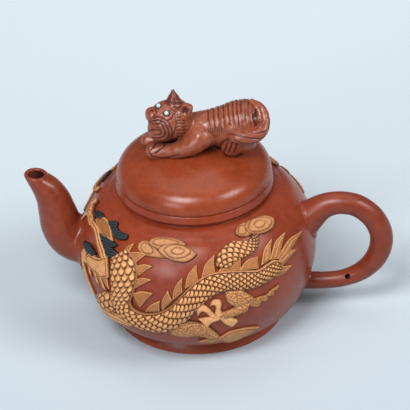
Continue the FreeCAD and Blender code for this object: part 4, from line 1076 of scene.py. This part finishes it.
def egg(middle, radii, lean=(0, 0, 0), power=2.0, pitch=0.2):
    """An egg or rounded block: |x/a|^p + |y/b|^p + |z/c|^p = 1, turned about its middle by degrees."""
    rows = int(np.pi * max(radii) / pitch)
    down = np.linspace(0, np.pi, rows)[:, None]
    turn = np.linspace(0, 2 * np.pi, 2 * rows, endpoint=False)[None]
    parts = (np.sin(down) * np.cos(turn), np.sin(down) * np.sin(turn), np.cos(down))
    way = np.stack(np.broadcast_arrays(*parts), axis=-1)
    size = (np.abs(way / radii) ** power).sum(axis=-1) ** (-1 / power)
    grid = (way * size[..., None]) @ np.array(Euler(np.radians(lean)).to_matrix()).T + middle
    return grid, np.broadcast_to(np.asarray(middle, float), (rows, 3)), None


def outward(grid, middle):
    """Directions square to a surface: the cross product of its two gradients, turned away from its middle."""
    square = unit(np.cross(np.gradient(grid, axis=0), np.roll(grid, -1, axis=1) - np.roll(grid, 1, axis=1)))
    return square * np.where(((grid - middle[:, None]) * square).sum() > 0, 1, -1)


def line_of_sight():
    """The camera's own directions: back towards it, to its right and up, turned by its roll."""
    a, e, roll = (np.radians(v) for v in (EYE_AZIMUTH, EYE_HEIGHT, EYE_ROLL))
    back = np.array([np.sin(a) * np.cos(e), -np.cos(a) * np.cos(e), np.sin(e)])
    right = np.array([np.cos(a), np.sin(a), 0])
    up = np.cross(back, right)
    return back, np.cos(roll) * right + np.sin(roll) * up, np.cos(roll) * up - np.sin(roll) * right


def on_view(points):
    """Where points show in the view, in its pixels: its middle plus d / (d - depth) times the run from it."""
    back, side, top = line_of_sight()
    run = points - np.array(EYE_TARGET)
    near = EYE_DISTANCE / MM / (EYE_DISTANCE / MM - run @ back) * EYE_SCALE
    return FRAME_WIDTH / 2 + np.stack([run @ side, -(run @ top)], axis=-1) * near[..., None]


def off_roll(points, places):
    """Distance of points from a roll through places: to the nearest middle less the radius there."""
    spots = np.asarray(places, float)
    best = np.full(points.shape[:-1], np.inf)
    for start, end in zip(spots, spots[1:]):
        run = end[:3] - start[:3]
        t = np.clip((points - start[:3]) @ run / (run @ run), 0, 1)
        away = np.linalg.norm(points - start[:3] - t[..., None] * run, axis=-1)
        best = np.minimum(best, away - start[3] - t * (end[3] - start[3]))
    return best


def off_egg(points, middle, radii):
    """Rough distance of points from an egg: (|x/a, y/b, z/c| - 1) times its smallest radius."""
    return (np.linalg.norm((points - middle) / radii, axis=-1) - 1) * min(radii)


def wiped(shape, gap, size):
    """The shape joined smoothly to another piece, as a wet finger leaves it.

    Each point moves out from its middle until the smooth least of both distances, min(a, b) - h h k / 4 with
    h = max(1 - |a - b| / k, 0), is nought, and by no more than k.
    """
    grid, middle, along = shape
    out = grid - middle[:, None]
    out = out / np.maximum(np.linalg.norm(out, axis=-1, keepdims=True), 1e-6)
    reach = np.zeros(grid.shape[:2])
    for _ in range(9):
        other = gap(grid + out * reach[..., None])
        near = np.clip(1 - np.abs(reach - other) / size, 0, 1)
        reach = np.clip(reach - np.minimum(reach, other) + near ** 2 * size / 4, 0, size)
    return grid + out * reach[..., None], middle, along


def modelled(name, shape, nodes, look=None):
    """A piece of the beast: its surface pushed in or out by a look, which also gives its tone."""
    grid, middle, along = shape
    square = outward(grid, middle)
    seen = np.clip(square @ line_of_sight()[0] * 5 + 0.5, 0, 1)
    more, tone = look(grid, seen, along) if look else (0, 0.7)
    more, tone = (np.broadcast_to(v, grid.shape[:2]) for v in (more, tone))
    points = grid + square * more[..., None]
    points[[0, -1]] = points[[0, -1]].mean(axis=1, keepdims=True)
    piece(name, points.reshape(-1, 3), grid_faces(*grid.shape[:2]), beast_clay, "lid", nodes,
          "beast_stoneware", height=tone.reshape(-1))


def drawn(spots, lines):
    """How deep lines are drawn at spots, from 0 to 1. A line is its half width and its places in the view."""
    flat, depth = spots.reshape(-1, 2), np.zeros(spots[..., 0].size)
    for width, places in lines:
        run = smooth_run(places, 6)
        near = (np.abs(flat - run.mean(axis=0)) < np.ptp(run, axis=0) / 2 + 2 * width).all(axis=1)
        if near.any():
            depth[near] = np.maximum(depth[near], groove(distance(flat[near], run), width))
    return depth.reshape(spots.shape[:-1])


def handled(grid):
    """The faint unevenness of modelled clay: 0.12 mm times a product of sines 5 mm long."""
    return 0.12 * np.sin(grid[..., 0] * 1.1 + 1) * np.sin(grid[..., 1] * 1.3) * np.sin(grid[..., 2] * 0.9)


def banded(grid, seen, along):
    """Bands of the coat: a groove at each x in BANDS that fades below the flank, and fine hair, all painted
    darker as shade; the rump line is a painted shadow.
    """
    lean = grid[..., 0] + BAND_SLANT * (grid[..., 2] - BACK_HEIGHT)
    cut = np.zeros(grid.shape[:2])
    for band in BANDS:
        cut = np.maximum(cut, groove(lean, 0.36, band))
    high = np.clip((grid[..., 2] - np.interp(grid[..., 0], (1, 25), (102.6, 107.4)) - 2.2) / 3, 0, 1)
    gap, hair = (drawn(on_view(grid), lines) * seen for lines in ((RUMP_LINE,), HAIR_LINES))
    tone = 0.8 - 0.5 * cut * high - 0.4 * hair - 0.6 * gap
    return handled(grid) - BAND_DEPTH * cut * high - 0.25 * hair - gap, tone


def combed(grid, seen, along):
    """Strands along the brush: grooves round the tail that wind slowly and fade in past the rump, painted
    darker as shade.
    """
    turn = np.linspace(0, 2 * np.pi, grid.shape[1], endpoint=False)
    strand = np.clip(np.cos(BRUSH_STRANDS * turn + 0.22 * along[:, None]) - 0.55, 0, 1) / 0.45
    late = np.clip((along[:, None] - BRUSH_START) / 6, 0, 1)
    return handled(grid) - 0.42 * strand * late, 0.74 - 0.5 * strand * late


beast_clay = laid_clay("carved_purple_clay", "260C05", "79341F", "A65A3B", 0.29, 0.55)
body = limb(BODY_PLACES, (0, 0, 1))
modelled("beast_body_skin", body, ["beast_body"], banded)
tail = wiped(limb(TAIL_PLACES, (1, 0.2, 1)), lambda p: off_roll(p, BODY_PLACES), 0.8)
modelled("beast_tail_skin", tail, ["beast_tail"], combed)

# Beast's legs.
# Each leg is a tapered roll pressed on the body and wiped smooth there. The forelegs lie before the chest and
# the hind paw looks out from under the haunch. Toes and pads are parted with the edge of a knife.
NEAR_FORELEG = (
    (4.2, -6.6, 102.6, 5.6), (0.6, -8, 99.8, 4.9), (-6, -8.2, 97, 4), (-12, -7, 95.6, 3.7),
    (-18.2, -5.8, 94.5, 4.1),
)
FAR_FORELEG = ((2, 7, 100.4, 5.2), (-6, 6.6, 97.4, 3.8), (-13, 5.6, 95.4, 3.5), (-21.8, 4.4, 93.9, 3.4))
NEAR_HIND_LEG = (
    (23.8, -5, 101.4, 6.2), (20.5, -5.2, 98.6, 4.8), (19.1, -4.9, 96.4, 4.2), (18.8, -4.6, 95.2, 4),
)
FAR_HIND_LEG = ((23.8, 8, 102.4, 6.8), (20, 8.8, 98.6, 4.9), (17.4, 8.8, 95.4, 4.1))
HEAD = ((-10.2, -3.6, 111.8), (10.2, 9.9, 9.2))
FORE_TOES = (
    (0.75, ((159, 140), (155, 145), (150.5, 149))), (0.75, ((165, 144), (160, 149), (155, 153.5))),
    (0.7, ((149, 154), (154, 157.5), (166, 158), (181, 154.5))),
)
HIND_TOES = (
    (0.8, ((227.5, 142), (226, 147), (224, 152))), (0.8, ((232, 143), (230.5, 148), (228.5, 153))),
    (0.8, ((236.5, 144), (235.5, 149), (234, 153))),
    (0.7, ((221, 153), (227, 156), (234, 156.5), (241, 154))),
    (0.9, ((219.5, 150), (221, 144), (226, 140.5), (233, 139.5), (239.5, 142), (243, 147))),
)


def lined(lines, depth, tone, dark):
    """A look with lines of the view cut so many millimetres deep, and painted so much darker than the tone
    around as shade.
    """
    def look(grid, seen, along):
        cut = drawn(on_view(grid), lines) * seen
        return handled(grid) - depth * cut, tone - dark * cut
    return look


def beside_body(shape, size=4.0):
    """A shape wiped on to the body."""
    return wiped(shape, lambda p: off_roll(p, BODY_PLACES), size)


for name, places, upright, across, toes in (
        ("near_foreleg", NEAR_FORELEG, (0, 0, 1), 1.0, FORE_TOES),
        ("far_foreleg", FAR_FORELEG, (0, 0, 1), 1.0, ()),
        ("near_hind_leg", NEAR_HIND_LEG, (0, 1, 0), 1.25, HIND_TOES),
        ("far_hind_leg", FAR_HIND_LEG, (0, 1, 0), 1.0, ())):
    leg = beside_body(limb(places, upright, across))
    modelled(f"{name}_skin", leg, [f"beast_{name}"], lined(toes, 0.6, 0.76, 0.62))

# Beast's head.
# A ball of clay with a blunt nose, rolled lips that curl in rings round the mouth, ticks of hair behind the
# cheek, cupped ears and a pointed crest with a rolled brim. The eyes are beads of pale turquoise glaze.
NOSE = ((-17.4, -7.4, 116.4), (3.6, 4.1, 3.7))
CHIN = ((-14, -6.2, 107.9), (6.8, 6.4, 5.7))
NEAR_EAR = ((-1.8, -6.6, 118.7), (3, 2.2, 3.7))
FAR_EAR = ((-9.4, 5, 115.3), (3, 1.6, 3.2))
CREST = (
    (-8, -2.2, 116.6, 6.4), (-8, -2.1, 118.6, 6.1), (-8, -2, 120.3, 4.6), (-8, -1.9, 121.8, 3.4),
    (-8, -1.8, 123.4, 2.5), (-8.05, -1.7, 126.2, 0.9),
)
EYE_BEADS = ((-10.96, -9.74, 119.15), (-15.1, -4.5, 119.9))
EYE_RADIUS = 1.08
MOUTH = (156.0, 131.0)
MOUTH_RINGS = (5.0, 9.3, 13.2, 16.8)
SOCKETS = (((166.5, 113), 3.9), ((158.5, 105.8), 3.4))
EAR_HOLLOW = (184.6, 110.6)
EAR_HOLLOW_RADIUS = 4.0
TICK_COLUMNS = ((179, 114, 139), (184, 117, 138))
TICKS = tuple((0.6, ((x - 1.6, y + 0.3), (x + 1.6, y - 0.3)))
              for x, low, high in TICK_COLUMNS for y in np.arange(low, high, 3.3))
FACE_LINES = (
    (0.7, ((149, 112), (151, 109.5), (153, 111.5))),
    (0.8, ((152.5, 118.5), (156, 116.5), (159.5, 118.5))),
    (0.8, ((154.5, 108), (156.5, 112), (154.5, 116))),
    (0.9, ((148.5, 131.5), (152.5, 129.5), (158.5, 130.5))),
    (0.7, ((171, 108), (173.5, 113), (172, 118), (167.5, 121))),
    (0.7, ((149, 122.5), (155, 121), (162, 122))),
    (0.7, ((174.5, 111), (176.5, 122), (174, 133), (167, 141))),
)
BRIM_LINES = (
    (0.8, ((162, 101.5), (167, 106), (175, 108), (185, 107))),
    (0.7, ((164, 97.5), (169, 102), (177, 103.5), (184, 102))),
)


def faced(grid, seen, along):
    """The face: rings round the mouth, sunk eye sockets, lines of nose and cheek, and ticks of hair, all
    painted darker as shade.
    """
    spots = on_view(grid)
    run = (spots - MOUTH) / (1, 0.78)
    out, turn = np.hypot(run[..., 0], run[..., 1]), np.degrees(np.arctan2(-run[..., 1], run[..., 0]))
    reach = np.clip((112 - np.abs(turn + 4)) / 20, 0, 1)
    out = out * (1 + 0.09 * np.sin(np.radians(3 * turn + 40))) + 0.012 * turn
    cut = sum(groove(out, 1.0, ring) for ring in MOUTH_RINGS) * reach
    for spot, size in SOCKETS:
        away = np.hypot(*np.moveaxis(spots - spot, -1, 0))
        cut = np.maximum(cut, 1.2 * np.clip((size - away) / 0.8, 0, 1))
    cut = np.maximum(cut, drawn(spots, FACE_LINES + TICKS)) * seen
    return handled(grid) - 0.42 * cut, 0.8 - 0.62 * np.clip(cut, 0, 1)


def cupped(grid, seen, along):
    """An ear pressed hollow with a thumb at its middle, with painted shade in the hollow."""
    away = np.hypot(*np.moveaxis((on_view(grid) - EAR_HOLLOW) * (1, 0.8), -1, 0))
    cup = np.clip((EAR_HOLLOW_RADIUS - away) / 1.6, 0, 1) * seen
    return -1.0 * cup, 0.8 - 0.6 * cup


def beside_head(shape, size=1.4):
    """A shape wiped on to the head."""
    return wiped(shape, lambda p: off_egg(p, *HEAD), size)


modelled("beast_head_skin", beside_body(egg(*HEAD), 3.0), ["beast_head"], faced)
modelled("beast_nose_skin", beside_head(egg(*NOSE, (0, 0, 28), 2.8)), ["beast_muzzle"], faced)
modelled("beast_jaw_skin", beside_head(egg(*CHIN, (0, 0, 0), 2.2)), ["beast_jaw"], faced)
modelled("beast_crest_skin", beside_head(limb(CREST, (0, 1, 0)), 0.8), ["beast_crest"],
         lined(BRIM_LINES, 0.4, 0.5, 0.4))
modelled("near_ear_skin", beside_head(egg(*NEAR_EAR, (0, 20, 0), 3.0)), ["beast_near_ear"], cupped)
modelled("far_ear_skin", egg(*FAR_EAR), ["beast_far_ear"])
bead_glaze = bpy.data.materials.new("turquoise_glaze")
bead_glaze.use_nodes = True
bead_shader = bead_glaze.node_tree.nodes["Principled BSDF"]
bead_shader.inputs["Base Color"].default_value = linear("A9C9D2")
bead_shader.inputs["Roughness"].default_value = 0.12
beads = [egg(bead, (EYE_RADIUS,) * 3, pitch=0.12)[0] for bead in EYE_BEADS]
bead_points = np.concatenate([bead.reshape(-1, 3) for bead in beads])
bead_faces = grid_faces(*beads[0].shape[:2])
bead_faces = np.concatenate([bead_faces, bead_faces + beads[0][..., 0].size])
piece("beast_eye_beads", bead_points, bead_faces, bead_glaze, "lid", ["beast_eyes"], "eye_bead")

# Floor, light and camera.
# The pot stands on pale blue-grey paper that curves up far behind it. Three soft boxes light it from in front
# and the side and a wide one from overhead, under a faint even sky.
PAPER_BACK = 7.0
PAPER_RADIUS = 0.9
PAPER_FRONT = -2.5
PAPER_TOP = 4.0
PAPER_SIDE = 3.5
PAPER_SHADE = -0.25
PAPER_LIGHT = 0.45
LAMP_TARGET = 0.06
FILM_WIDTH = 36


def paper():
    """Matt blue-grey paper, with painted shade that darkens it from behind the pot towards the front."""
    made, tree, shader, place = new_material("pale_paper")
    split = add(tree, "SeparateXYZ", {0: place})
    tone = mixed(tree, ranged(tree, split.outputs["Y"], PAPER_SHADE, PAPER_LIGHT), "9DA7B0", "DBE6EC")
    tree.links.new(tone, shader.inputs["Base Color"])
    shader.inputs["Roughness"].default_value = 0.9
    return made


bend = np.radians(np.linspace(0, 90, 24))
curl = np.stack([PAPER_BACK + PAPER_RADIUS * np.sin(bend), PAPER_RADIUS * (1 - np.cos(bend))], axis=1)
run = np.concatenate([[(PAPER_FRONT, 0)], curl, [(PAPER_BACK + PAPER_RADIUS, PAPER_TOP)]])
sweep_points = [(side * PAPER_SIDE, y, z) for y, z in run for side in (-1, 1)]
mesh = bpy.data.meshes.new("paper_sweep")
mesh.from_pydata(sweep_points, [], grid_faces(len(run), 2, closed_columns=False).tolist())
mesh.polygons.foreach_set("use_smooth", np.full(len(mesh.polygons), True))
mesh.materials.append(paper())
sweep_floor = bpy.data.objects.new("paper_sweep", mesh)
bpy.context.scene.collection.objects.link(sweep_floor)


def soft_box(name, azimuth, height, distance, width, power):
    """A lamp wider than high that faces the pot from so many degrees round from the front and up."""
    a, e = np.radians(azimuth), np.radians(height)
    back = Vector((np.sin(a) * np.cos(e), -np.cos(a) * np.cos(e), np.sin(e)))
    lamp = bpy.data.lights.new(name, "AREA")
    lamp.shape = "RECTANGLE"
    lamp.size, lamp.size_y = width, 0.85 * width
    lamp.energy = power
    made = bpy.data.objects.new(name, lamp)
    made.visible_camera = False
    made.location = back * distance + Vector((0, 0, LAMP_TARGET))
    made.rotation_euler = back.to_track_quat("Z", "Y").to_euler()
    bpy.context.scene.collection.objects.link(made)


soft_box("front_box", -20, 52, 1.6, 0.72, 24)
soft_box("side_box", 68, 41, 1.6, 0.66, 14)
soft_box("low_front_box", -28, 20, 1.6, 0.52, 6)
soft_box("top_box", 180, 72, 2.4, 1.9, 13)
sky = bpy.data.worlds.new("sky")
bpy.context.scene.world = sky
sky.use_nodes = True
sky.node_tree.nodes["Background"].inputs[0].default_value = linear("E8EEF2")
sky.node_tree.nodes["Background"].inputs[1].default_value = 0.2

back, side, top = (Vector(way) for way in line_of_sight())
camera = bpy.data.cameras.new("camera")
camera.sensor_width = FILM_WIDTH
camera.lens = EYE_SCALE / MM * EYE_DISTANCE / FRAME_WIDTH * camera.sensor_width
camera.clip_end = 20
eye = bpy.data.objects.new("camera", camera)
turned_way = Matrix((side, top, back)).transposed().to_4x4()
eye.matrix_world = Matrix.Translation(Vector(EYE_TARGET) * MM + back * EYE_DISTANCE) @ turned_way
bpy.context.scene.collection.objects.link(eye)
bpy.context.scene.camera = eye
bpy.context.scene.view_settings.view_transform = "Standard"
